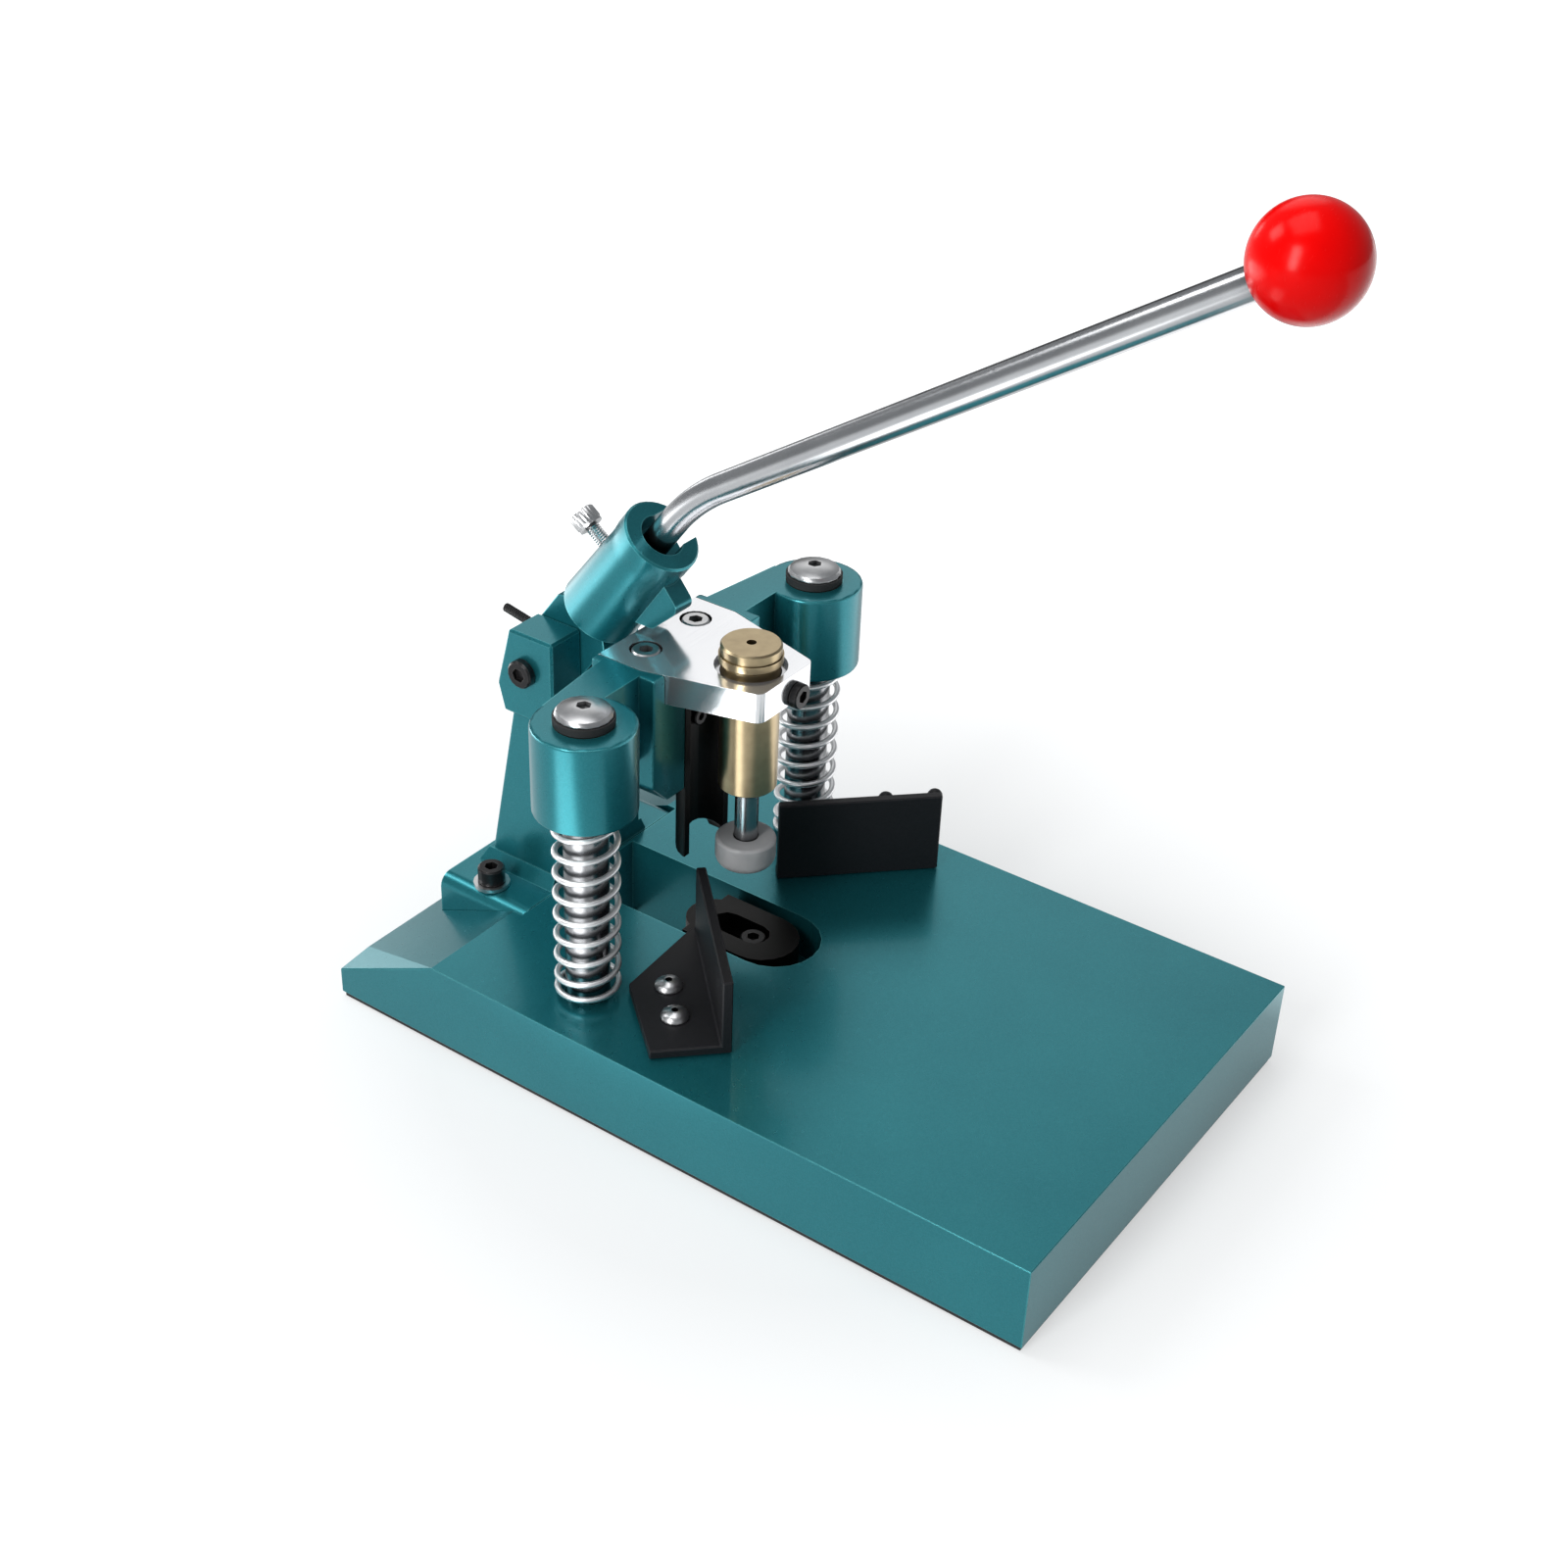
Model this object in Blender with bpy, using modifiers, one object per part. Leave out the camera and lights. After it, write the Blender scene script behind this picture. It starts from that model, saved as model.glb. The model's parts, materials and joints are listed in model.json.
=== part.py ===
"""Desk corner rounder: a heavy table, a sprung press head with a shaped blade, and a hand lever.

Lengths are in metres. X runs across the table, the user stands at -Y, and Z points up.
The origin is the middle of the underside, where the machine stands on the desk.
"""
import math

import bmesh
import bpy
from mathutils import Matrix, Vector

# Fits and cuts
REST_GAP = 0.0003
RUNNING_GAP = 0.00025
THREAD_GAP = 0.0003
OVERRUN = 0.002
WELD = 0.00001

# Table
BASE_WIDTH = 0.160
BASE_LENGTH = 0.260
TABLE_TOP = 0.0305
MAT_THICKNESS = 0.0015
MAT_INSET = 0.0008
SLOPE_LENGTH = 0.0415
REAR_EDGE_HEIGHT = 0.0125
SIDE_BAND_WIDTH = 0.013
SIDE_BAND_DROP = 0.0015
TABLE_EDGE_ROUND = 0.0009

# Channel in the table, with the die in its front end
CHANNEL_HALF_WIDTH = 0.0155
CHANNEL_FRONT = -0.0025
CHANNEL_REAR = 0.084
CHUTE_FRONT = 0.0475
DIE_SEAT = 0.0145
DIE_SINK = 0.0018
DIE_HALF_WIDTH = 0.0125
DIE_FRONT = 0.0055
DIE_SLOT_FRONT = 0.0155
DIE_SLOT_REAR = 0.037
DIE_SLOT_HALF_WIDTH = 0.0052
DIE_SLOT_DEPTH = 0.006
DIE_SCREW_Y = 0.0212

# Cutting line: the radius left on the paper, and the blade's clearance round the die
CORNER_RADIUS = 0.010
CUT_HALF_WIDTH = 0.009
CUT_CLEARANCE = 0.0003

# Blade
BLADE_HALF_WIDTH = 0.0115
BLADE_FRONT = 0.041
BLADE_CREST_Y = 0.0505
BLADE_BACK_RADIUS = 0.01195
HEEL_BOTTOM = 0.0565
ARCH_HALF_WIDTH = 0.0088
ARCH_HEIGHT = 0.0056
SPOT_FACE_DEPTH = 0.0003

# Guide posts and what rides on them
POST_X = 0.058
POST_Y = 0.0425
POST_RADIUS = 0.007
POST_SEAT = 0.0145
POST_END_BEVEL = 0.0006
LINER_WALL = 0.00175
BOSS_RADIUS = 0.016
BOSS_HEIGHT = 0.0295
WASHER_RADIUS = 0.0093
WASHER_THICKNESS = 0.0024

# Press head, raised
HEAD_TOP = 0.1277
BLOCK_HALF_WIDTH = 0.0272
BLOCK_FRONT = 0.0413
BLOCK_REAR = 0.0655
BLOCK_BOTTOM = 0.082
BLOCK_CHAMFER = 0.0073
ARM_FRONT = 0.047
ARM_REAR_AT_POST = 0.0583
HEAD_EDGE_ROUND = 0.0009

# Carrier plate on the head
PLATE_THICKNESS = 0.010
PLATE_HALF_WIDTH = 0.024
PLATE_REAR = 0.0652
PLATE_SHOULDER_Y = 0.049
PLATE_NOSE_HALF_WIDTH = 0.0133
PLATE_NOSE_Y = 0.0115
PLATE_NOSE_ROUND = 0.003
PLATE_EDGE_ROUND = 0.0006
PLATE_SCREW_X = 0.0125
PLATE_SCREW_Y = 0.056

# Presser: brass housing in the plate, with a sprung rod and a soft foot
PRESSER_Y = 0.0253
HOUSING_RADIUS = 0.0093
HOUSING_BOTTOM = 0.085
HOUSING_RISE = 0.0017
HOUSING_FLOOR = 0.0035
HOUSING_BORE_RADIUS = 0.0062
HOUSING_EDGE_BEVEL = 0.0006
CAP_RADIUS = 0.01005
CAP_STEP = 0.0005
CAP_SKIRT_HEIGHT = 0.0022
CAP_HEIGHT = 0.0056
CAP_HOLE_RADIUS = 0.0016
CAP_PLUG_LENGTH = 0.006
COUNTERBORE_RADIUS = 0.0114
COUNTERBORE_DEPTH = 0.002
ROD_RADIUS = 0.0038
ROD_COLLAR_RADIUS = 0.0057
ROD_COLLAR_HEIGHT = 0.003
ROD_TAIL_RADIUS = 0.0024
ROD_TAIL_LENGTH = 0.018
FOOT_RADIUS = 0.00975
FOOT_BOTTOM = 0.0556
FOOT_HEIGHT = 0.010
FOOT_SOCKET_DEPTH = 0.005
FOOT_ROUND = 0.0014
HOUSING_SCREW_X = 0.0044
HOUSING_SCREW_Z = 0.1202
HOUSING_SCREW_RADIUS = 0.0015
HOUSING_SCREW_HEAD_RADIUS = 0.0041
HOUSING_SCREW_HEAD_HEIGHT = 0.0025

# Return springs and presser spring
SPRING_RADIUS = 0.0105
SPRING_WIRE_RADIUS = 0.001
SPRING_TURNS = 9.75
PRESSER_SPRING_RADIUS = 0.0055
PRESSER_SPRING_WIRE_RADIUS = 0.0006
PRESSER_SPRING_TURNS = 8.5
SPRING_END_PITCH_SHARE = 0.42
POINTS_PER_TURN = 10

# Lever bracket: a foot in the table, a column and two lugs
FOOT_BLOCK_HALF_WIDTH = 0.0405
FOOT_BLOCK_FRONT = 0.0853
FOOT_BLOCK_REAR = 0.1212
FOOT_BLOCK_BOTTOM = 0.012
FOOT_BLOCK_ROUND = 0.0045
COLUMN_FRONT = 0.086
COLUMN_BOTTOM_REAR = 0.1152
COLUMN_TOP_REAR = 0.1046
COLUMN_BOTTOM_HALF_WIDTH = 0.0225
COLUMN_TOP_HALF_WIDTH = 0.020
COLUMN_EDGE_ROUND = 0.0015
FLARE_HEIGHT = 0.005
FLARE_SPREAD = 0.0035
LEDGE_BOTTOM = 0.0915
LEDGE_REAR = 0.1065
LUG_HALF_WIDTH = 0.022
LUG_GAP_HALF_WIDTH = 0.0084
LUG_FLOOR = 0.0955
LUG_TOP = 0.1222
LUG_TOP_REAR = 0.1038
LUG_BULGE_Y = 0.1092
LUG_BULGE = 0.1014
LUG_EDGE_ROUND = 0.0008
BRACKET_SCREW_X = 0.0335
BRACKET_SCREW_Y = 0.1045
BRACKET_WASHER_RADIUS = 0.0061
BRACKET_WASHER_THICKNESS = 0.0012

# Lever, measured along its socket from the pivot
PIVOT_Y = 0.0975
PIVOT_Z = 0.1088
SOCKET_ANGLE = math.radians(53.6)
TONGUE_HALF_WIDTH = 0.008
TONGUE_RADIUS = 0.0116
TONGUE_LENGTH = 0.023
TONGUE_CHAMFER = 0.005
SOCKET_FOOT_RADIUS = 0.0131
SOCKET_RADIUS = 0.0124
SOCKET_LENGTH = 0.0639
RIM_RADIUS = 0.0128
RIM_LENGTH = 0.0079
RIM_TAPER = 0.0019
SOCKET_EDGE_ROUND = 0.0006
SOCKET_BORE_START = 0.026
MOUTH_DEPTH = 0.009
MOUTH_RADIUS = 0.0072
MOUTH_SLOT_TOP = math.radians(68.5)
MOUTH_SLOT_BOTTOM = math.radians(-49.8)
LOBE_HALF_WIDTH = 0.004
LOBE_TIP_S = 0.0405
LOBE_TIP_DROP = 0.015
LOBE_HEEL_S = 0.050
LOBE_HEEL_DROP = 0.017
LOBE_NOSE_RADIUS = 0.003
LOBE_ROOT_START = 0.0315
LOBE_ROOT_END = 0.0555
LOBE_ROOT_DROP = 0.0075
PIN_RADIUS = 0.003
PIN_HEAD_RADIUS = 0.0048
PIN_HEAD_HEIGHT = 0.0026
PIN_NUT_RADIUS = 0.0058
PIN_NUT_THICKNESS = 0.0045
PIN_TAIL = 0.0015
BUSH_WALL = 0.0015
PIN_SCREW_TURN = math.radians(-25.4)
PIN_SCREW_RADIUS = 0.0016
PIN_SCREW_REACH = 0.0276
CLAMP_SCREW_S = 0.0429
CLAMP_SCREW_RADIUS = 0.00235
CLAMP_HEAD_RADIUS = 0.0044
CLAMP_HEAD_LENGTH = 0.0055
CLAMP_SCREW_REACH = 0.0246

# Lever rod and knob
HANDLE_RADIUS = 0.0046
HANDLE_BEND_REACH = 0.0195
HANDLE_BEND = math.radians(21)
HANDLE_BEND_RADIUS = 0.065
HANDLE_REACH = 0.2112
KNOB_RADIUS = 0.015
KNOB_FACE = 0.013
INSERT_RADIUS = 0.0064
INSERT_DEPTH = 0.017
INSERT_FLOOR = 0.002

# Paper guides: where the near end of each paper face meets the table, and the angle's sizes
GUIDE_TURN = math.radians(45)
GUIDE_THICKNESS = 0.003
FENCE_THICKNESS = 0.0032
LEFT_NEAR = (-0.0555, -0.0115)
LEFT_LENGTH = 0.061
LEFT_HEIGHT = 0.0265
LEFT_DEPTH = 0.025
LEFT_BULGE_DEPTH = 0.0275
LEFT_BULGE_AT = 0.034
LEFT_SCREWS_AT = (0.0157, 0.031)
LEFT_SCREW_DEPTH = 0.0154
RIGHT_NEAR = (0.0664, -0.0075)
RIGHT_LENGTH = 0.055
RIGHT_HEIGHT = 0.029
RIGHT_DEPTH = 0.013
RIGHT_BULGE_DEPTH = 0.0145
RIGHT_BULGE_AT = 0.045
RIGHT_SCREWS_AT = (0.0265, 0.0395)
RIGHT_SCREW_DEPTH = 0.009
GUIDE_TAIL_DEPTH = 0.0045
GUIDE_EDGE_ROUND = 0.0004
GUIDE_TRAVEL = 0.0013
FENCE_PINS_AT = (0.0012, 0.018)
FENCE_PIN_RADIUS = 0.0027
FENCE_PIN_DROP = 0.001

# Screws: shank radius, head radius and head height of each size, and how deep it goes
GUIDE_SCREW_RADIUS = 0.0019
GUIDE_SCREW_HEAD_RADIUS = 0.0045
GUIDE_SCREW_HEAD_HEIGHT = 0.0027
GUIDE_SCREW_DEPTH = 0.009
DIE_SCREW_RADIUS = 0.0022
DIE_SCREW_HEAD_RADIUS = 0.0043
DIE_SCREW_HEAD_HEIGHT = 0.0045
DIE_SCREW_DEPTH = 0.008
BRACKET_SCREW_RADIUS = 0.0025
BRACKET_SCREW_HEAD_RADIUS = 0.0045
BRACKET_SCREW_HEAD_HEIGHT = 0.0055
BRACKET_SCREW_DEPTH = 0.0255
POST_SCREW_RADIUS = 0.0037
POST_SCREW_HEAD_RADIUS = 0.00875
POST_SCREW_HEAD_HEIGHT = 0.003
POST_SCREW_DEPTH = 0.018
ANCHOR_SCREW_RADIUS = 0.0037
ANCHOR_SCREW_HEAD_RADIUS = 0.0065
ANCHOR_SCREW_HEAD_HEIGHT = 0.007
ANCHOR_SCREW_DEPTH = 0.017
PLATE_SCREW_RADIUS = 0.0024
PLATE_SCREW_HEAD_RADIUS = 0.0046
PLATE_SCREW_HEAD_HEIGHT = 0.0048
PLATE_SCREW_DEPTH = 0.017
BLADE_SCREW_RADIUS = 0.0016
BLADE_SCREW_HEAD_RADIUS = 0.003
BLADE_SCREW_HEAD_HEIGHT = 0.003
BLADE_SCREW_DEPTH = 0.011
BLADE_SCREW_Z = 0.1025
HEAD_CLEARANCE = 0.0006
HOLE_SPARE_DEPTH = 0.001
SOCKET_SHARE = 0.52
SOCKET_DEPTH_SHARE = 0.55
SCREW_EDGE_SHARE = 0.12

# Sides given to round shapes
BIG_SIDES = 36
ROUND_SIDES = 28
SMALL_SIDES = 16
ARC_STEPS = 5
DOME_STEPS = 4
KNOB_RINGS = 11
HANDLE_BEND_STEPS = 7
HANDLE_BEVEL_STEPS = 10

# Sizes that follow from those above
BASE_BOTTOM = MAT_THICKNESS + REST_GAP
KNEE_Y = BASE_LENGTH / 2 - SLOPE_LENGTH
SLOPE_FALL = (TABLE_TOP - REAR_EDGE_HEIGHT) / SLOPE_LENGTH
DIE_BOTTOM = DIE_SEAT + REST_GAP
DIE_TOP = TABLE_TOP - DIE_SINK
CUT_SAG = CORNER_RADIUS - math.sqrt(CORNER_RADIUS ** 2 - CUT_HALF_WIDTH ** 2)
CUT_CENTRE_Y = BLADE_FRONT + CUT_SAG - CORNER_RADIUS
HOLLOW_Y = CUT_CENTRE_Y + CORNER_RADIUS
BLADE_BACK_CENTRE_Y = BLADE_CREST_Y - BLADE_BACK_RADIUS
PLATE_BOTTOM = HEAD_TOP - PLATE_THICKNESS
BLADE_TOP = PLATE_BOTTOM - 2 * REST_GAP
BOSS_BOTTOM = HEAD_TOP - BOSS_HEIGHT
LINER_RADIUS = POST_RADIUS + RUNNING_GAP + LINER_WALL
HOUSING_TOP = HEAD_TOP + HOUSING_RISE
CAP_BOTTOM = HOUSING_TOP + REST_GAP
CAP_TOP = CAP_BOTTOM + CAP_HEIGHT
FOOT_TOP = FOOT_BOTTOM + FOOT_HEIGHT
COLLAR_BOTTOM = HOUSING_BOTTOM + HOUSING_FLOOR + REST_GAP
COLLAR_TOP = COLLAR_BOTTOM + ROD_COLLAR_HEIGHT
WASHER_BOTTOM = HEAD_TOP + REST_GAP
WASHER_TOP = WASHER_BOTTOM + WASHER_THICKNESS
BUSH_RADIUS = PIN_RADIUS + RUNNING_GAP + BUSH_WALL
HANDLE_START = SOCKET_BORE_START + REST_GAP
HANDLE_BEND_S = SOCKET_LENGTH + HANDLE_BEND_REACH


def clear_scene():
    for item in list(bpy.data.objects):
        bpy.data.objects.remove(item, do_unlink=True)


def new_collection(name, hidden=False):
    group = bpy.data.collections.new(name)
    bpy.context.scene.collection.children.link(group)
    group.hide_render = hidden
    return group


clear_scene()
PARTS = new_collection("corner_rounder")
CUTTERS = new_collection("cutters", hidden=True)


def make_material(name, colour, roughness, metallic=0.0):
    material = bpy.data.materials.new(name)
    material.use_nodes = True
    shader = material.node_tree.nodes["Principled BSDF"]
    shader.inputs["Base Color"].default_value = (*colour, 1)
    shader.inputs["Roughness"].default_value = roughness
    shader.inputs["Metallic"].default_value = metallic
    return material


TEAL = make_material("teal_enamel", (0.035, 0.19, 0.21), 0.35)
STEEL = make_material("polished_steel", (0.78, 0.78, 0.80), 0.15, 1.0)
BRIGHT_SCREW = make_material("bright_zinc", (0.72, 0.72, 0.74), 0.25, 1.0)
BLACK_SCREW = make_material("black_oxide", (0.02, 0.02, 0.022), 0.45, 0.6)
ALUMINIUM = make_material("machined_aluminium", (0.85, 0.86, 0.88), 0.3, 1.0)
BRASS = make_material("dull_brass", (0.50, 0.38, 0.20), 0.3, 1.0)
BLACK_STEEL = make_material("blackened_steel", (0.016, 0.016, 0.018), 0.4, 0.5)
BLACK_ENAMEL = make_material("black_enamel", (0.012, 0.012, 0.014), 0.45)
RUBBER = make_material("black_rubber", (0.02, 0.02, 0.02), 0.8)
NYLON = make_material("white_nylon", (0.72, 0.73, 0.74), 0.5)
KNOB_RED = make_material("red_knob", (0.75, 0.004, 0.004), 0.08)


def add_object(name, mesh, material=None):
    piece = bpy.data.objects.new(name, mesh)
    PARTS.objects.link(piece)
    if material is not None:
        mesh.materials.clear()
        mesh.materials.append(material)
    return piece


def mesh_from(bm, name):
    bmesh.ops.recalc_face_normals(bm, faces=bm.faces)
    mesh = bpy.data.meshes.new(name)
    bm.to_mesh(mesh)
    bm.free()
    return mesh


def box(name, low, high, material=None):
    """A block from its low corner to its high corner."""
    low = Vector(low)
    high = Vector(high)
    bm = bmesh.new()
    bmesh.ops.create_cube(bm, size=1)
    bmesh.ops.scale(bm, vec=high - low, verts=bm.verts)
    bmesh.ops.translate(bm, vec=(low + high) / 2, verts=bm.verts)
    return add_object(name, mesh_from(bm, name), material)


def frustum_block(name, low_z, low_sides, high_z, high_sides, material=None):
    """A block whose top and bottom rectangles differ: sides are (x0, x1, y0, y1)."""
    rings = []
    for z, (x0, x1, y0, y1) in ((low_z, low_sides), (high_z, high_sides)):
        rings.append([(x0, y0, z), (x1, y0, z), (x1, y1, z), (x0, y1, z)])
    return loft(name, rings, material)


def loft(name, rings, material=None):
    """Skin from ring to ring of corner points, closed by its first and last rings."""
    bm = bmesh.new()
    corners = [[bm.verts.new(point) for point in ring] for ring in rings]
    for lower, upper in zip(corners, corners[1:]):
        for i, corner in enumerate(lower):
            j = (i + 1) % len(lower)
            bm.faces.new((corner, lower[j], upper[j], upper[i]))
    bm.faces.new(list(reversed(corners[0])))
    bm.faces.new(corners[-1])
    return add_object(name, mesh_from(bm, name), material)


def toward(start, end):
    """The matrix that stands a shape's own Z axis on the line from start to end, at start."""
    direction = Vector(end) - Vector(start)
    turn = direction.to_track_quat("Z", "Y").to_matrix().to_4x4()
    return Matrix.Translation(start) @ turn


def cylinder(name, radius, start, end, sides=ROUND_SIDES, material=None, end_radius=None):
    depth = (Vector(end) - Vector(start)).length
    bm = bmesh.new()
    bmesh.ops.create_cone(
        bm, cap_ends=True, segments=sides, depth=depth,
        radius1=radius, radius2=radius if end_radius is None else end_radius,
        matrix=toward(start, end) @ Matrix.Translation((0, 0, depth / 2)))
    return add_object(name, mesh_from(bm, name), material)


def evaluated_mesh(piece):
    """The piece's mesh with its modifiers worked out, welded where a curve's caps lie loose."""
    scene_now = bpy.context.evaluated_depsgraph_get()
    mesh = bpy.data.meshes.new_from_object(piece.evaluated_get(scene_now))
    bm = bmesh.new()
    bm.from_mesh(mesh)
    bmesh.ops.remove_doubles(bm, verts=bm.verts, dist=WELD)
    bmesh.ops.recalc_face_normals(bm, faces=bm.faces)
    bm.to_mesh(mesh)
    bm.free()
    return mesh


def as_mesh(piece, material=None):
    """Replaces a curve, or a piece with modifiers, by a plain mesh object of the same name."""
    name = piece.name
    mesh = evaluated_mesh(piece)
    place = piece.matrix_world.copy()
    bpy.data.objects.remove(piece, do_unlink=True)
    solid = add_object(name, mesh, material)
    solid.matrix_world = place
    return solid


def prism(name, outline, low, high, material=None, along="Z"):
    """A flat outline pulled from low to high along Z, or a (y, z) outline along X, or (x, z) along Y."""
    curve = bpy.data.curves.new(name, "CURVE")
    curve.dimensions = "2D"
    curve.fill_mode = "BOTH"
    curve.extrude = (high - low) / 2
    line = curve.splines.new("POLY")
    line.points.add(len(outline) - 1)
    for point, (x, y) in zip(line.points, outline):
        point.co = (x, y, 0, 1)
    line.use_cyclic_u = True
    piece = bpy.data.objects.new(name, curve)
    PARTS.objects.link(piece)
    middle = (low + high) / 2
    if along == "Z":
        piece.matrix_world = Matrix.Translation((0, 0, middle))
    elif along == "X":
        axes = Matrix(((0, 0, 1, middle), (1, 0, 0, 0), (0, 1, 0, 0), (0, 0, 0, 1)))
        piece.matrix_world = axes
    else:
        axes = Matrix(((1, 0, 0, 0), (0, 0, -1, middle), (0, 1, 0, 0), (0, 0, 0, 1)))
        piece.matrix_world = axes
    solid = as_mesh(piece, material)
    solid.data.transform(solid.matrix_world)
    solid.matrix_world = Matrix.Identity(4)
    return solid


def turned(name, profile, start, end, sides=ROUND_SIDES, material=None):
    """A turned solid: (radius, height) from the top of the axis down to its bottom."""
    bm = bmesh.new()
    corners = [bm.verts.new((radius, 0, height)) for radius, height in profile]
    for upper, lower in zip(corners, corners[1:]):
        bm.edges.new((upper, lower))
    mesh = bpy.data.meshes.new(name)
    bm.to_mesh(mesh)
    bm.free()
    piece = add_object(name, mesh)
    lathe = piece.modifiers.new("lathe", "SCREW")
    lathe.steps = sides
    lathe.render_steps = sides
    lathe.use_merge_vertices = True
    lathe.merge_threshold = WELD
    solid = as_mesh(piece, material)
    solid.data.transform(toward(start, end))
    return solid


def arc(centre, radius, first, last, steps=ARC_STEPS):
    """Points along a circle, from the first angle to the last, in degrees."""
    points = []
    for i in range(steps + 1):
        angle = math.radians(first + (last - first) * i / steps)
        points.append((centre[0] + radius * math.cos(angle), centre[1] + radius * math.sin(angle)))
    return points


def boolean(piece, other, operation):
    """Cuts or joins another solid, which is then kept out of sight among the cutters."""
    PARTS.objects.unlink(other)
    CUTTERS.objects.link(other)
    other.hide_render = True
    other.display_type = "WIRE"
    step = piece.modifiers.new(operation.lower(), "BOOLEAN")
    step.operation = operation
    step.object = other
    step.solver = "EXACT"


def cut(piece, *others):
    for other in others:
        boolean(piece, other, "DIFFERENCE")


def join(piece, *others):
    for other in others:
        boolean(piece, other, "UNION")


def round_edges(piece, width, segments=2, angle=40):
    step = piece.modifiers.new("rounded edges", "BEVEL")
    step.width = width
    step.segments = segments
    step.limit_method = "ANGLE"
    step.angle_limit = math.radians(angle)


def axis_empty(name, place, tilt=0.0):
    """An empty on a joint's axis. What it carries is modelled in the empty's own frame."""
    empty = bpy.data.objects.new(name, None)
    PARTS.objects.link(empty)
    empty.location = place
    empty.rotation_euler = (tilt, 0, 0)
    empty.empty_display_size = POST_RADIUS
    return empty


def carry(empty, *pieces):
    """Hangs pieces on the empty, with whatever cuts or joins them, where they stand in the world."""
    bpy.context.view_layer.update()
    for piece in pieces:
        family = [piece] + [step.object for step in piece.modifiers if step.type == "BOOLEAN"]
        for member in family:
            member.parent = empty
            member.matrix_parent_inverse = empty.matrix_world.inverted()


def carry_local(empty, *pieces):
    """Hangs pieces that were modelled in the empty's own frame."""
    for piece in pieces:
        family = [piece] + [step.object for step in piece.modifiers if step.type == "BOOLEAN"]
        for member in family:
            member.parent = empty


def cap_screw(shank_radius, head_radius, head_height, depth, name="screw"):
    """A socket-head cap screw: its seat is at the origin and its head stands up along Z."""
    edge = head_radius * SCREW_EDGE_SHARE
    profile = [(0, head_height), (head_radius - edge, head_height), (head_radius, head_height - edge),
               (head_radius, 0), (shank_radius, 0), (shank_radius, -depth), (0, -depth)]
    return with_hex_socket(name, profile, head_radius, head_height)


def button_screw(shank_radius, head_radius, head_height, depth, name="screw"):
    """A button-head screw: a shallow dome with a hexagon socket."""
    lip = head_height * SCREW_EDGE_SHARE
    dome = []
    for i in range(DOME_STEPS):
        angle = math.radians(90 * i / DOME_STEPS)
        dome.append((head_radius * math.sin(angle), lip + (head_height - lip) * math.cos(angle)))
    profile = dome + [(head_radius, lip), (head_radius, 0), (shank_radius, 0),
                      (shank_radius, -depth), (0, -depth)]
    return with_hex_socket(name, profile, head_radius * SOCKET_SHARE, head_height)


def with_hex_socket(name, profile, socket_width, head_height):
    body = turned(name, profile, (0, 0, 0), (0, 0, head_height), sides=SMALL_SIDES)
    hexagon = cylinder(name + "_socket", socket_width * SOCKET_SHARE,
                       (0, 0, head_height * (1 - SOCKET_DEPTH_SHARE)),
                       (0, 0, head_height + OVERRUN), sides=6)
    cut(body, hexagon)
    mesh = evaluated_mesh(body)
    for used in (body, hexagon):
        bpy.data.objects.remove(used, do_unlink=True)
    return mesh


def fastener(name, mesh, place, material):
    """One fastener, stood where the matrix says. Alike ones share their mesh."""
    piece = add_object(name, mesh, material)
    piece.matrix_world = place
    return piece


def pair(name, mesh, x, y, z, material):
    """The same fastener on the left and on the right."""
    return [fastener("%s_%s" % (name, side), mesh, upright(sign * x, y, z), material)
            for side, sign in (("left", -1), ("right", 1))]


def upright(x, y, z):
    return Matrix.Translation((x, y, z))


def hole(name, radius, x, y, low, high, sides=SMALL_SIDES):
    return cylinder(name, radius, (x, y, low), (x, y, high), sides=sides)


def coil(name, radius, wire_radius, turns, low, high, place, material):
    """A round-wire spring from low to high, closer at its ends, as one unbroken tube."""
    mean_radius = radius - wire_radius
    rise = high - low - 2 * wire_radius
    steps = round(turns * POINTS_PER_TURN)
    gaps = []
    for i in range(steps):
        turn = (i + 0.5) / POINTS_PER_TURN
        from_end = min(turn, turns - turn)
        gaps.append(SPRING_END_PITCH_SHARE if from_end < 1 else 1)
    unit = rise / sum(gaps)
    points = []
    height = low + wire_radius
    for i in range(steps + 1):
        angle = 2 * math.pi * i / POINTS_PER_TURN
        points.append(Vector((mean_radius * math.cos(angle), mean_radius * math.sin(angle), height)))
        if i < steps:
            height += gaps[i] * unit
    least = min(points[i + POINTS_PER_TURN].z - points[i].z for i in range(steps + 1 - POINTS_PER_TURN))
    print(name, "least gap between its turns:", round(least - 2 * wire_radius, 5), "m")
    curve = bpy.data.curves.new(name, "CURVE")
    curve.dimensions = "3D"
    curve.bevel_depth = wire_radius
    curve.bevel_resolution = 1
    curve.use_fill_caps = True
    line = curve.splines.new("POLY")
    line.points.add(len(points) - 1)
    for spot, point in zip(line.points, points):
        spot.co = (point.x + place[0], point.y + place[1], point.z, 1)
    piece = bpy.data.objects.new(name, curve)
    PARTS.objects.link(piece)
    return as_mesh(piece, material)


def both_sides(function):
    """Calls a function for the left side and for the right side, and lists what it made."""
    return [function(side, sign) for side, sign in (("left", -1), ("right", 1))]


def channel_outline(half_width, front, rear):
    """A slot in the table: round at the user's end, square at the back."""
    return arc((0, front + half_width), half_width, 180, 360, 2 * ARC_STEPS) + [
        (half_width, rear), (-half_width, rear)]


def guide_point(side, near, along, back):
    """Where a place on a paper guide lies on the table, measured along its face and behind it."""
    turn = math.cos(GUIDE_TURN)
    x = near[0] - side * turn * along + side * turn * back
    y = near[1] + turn * along + turn * back
    return x, y


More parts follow.
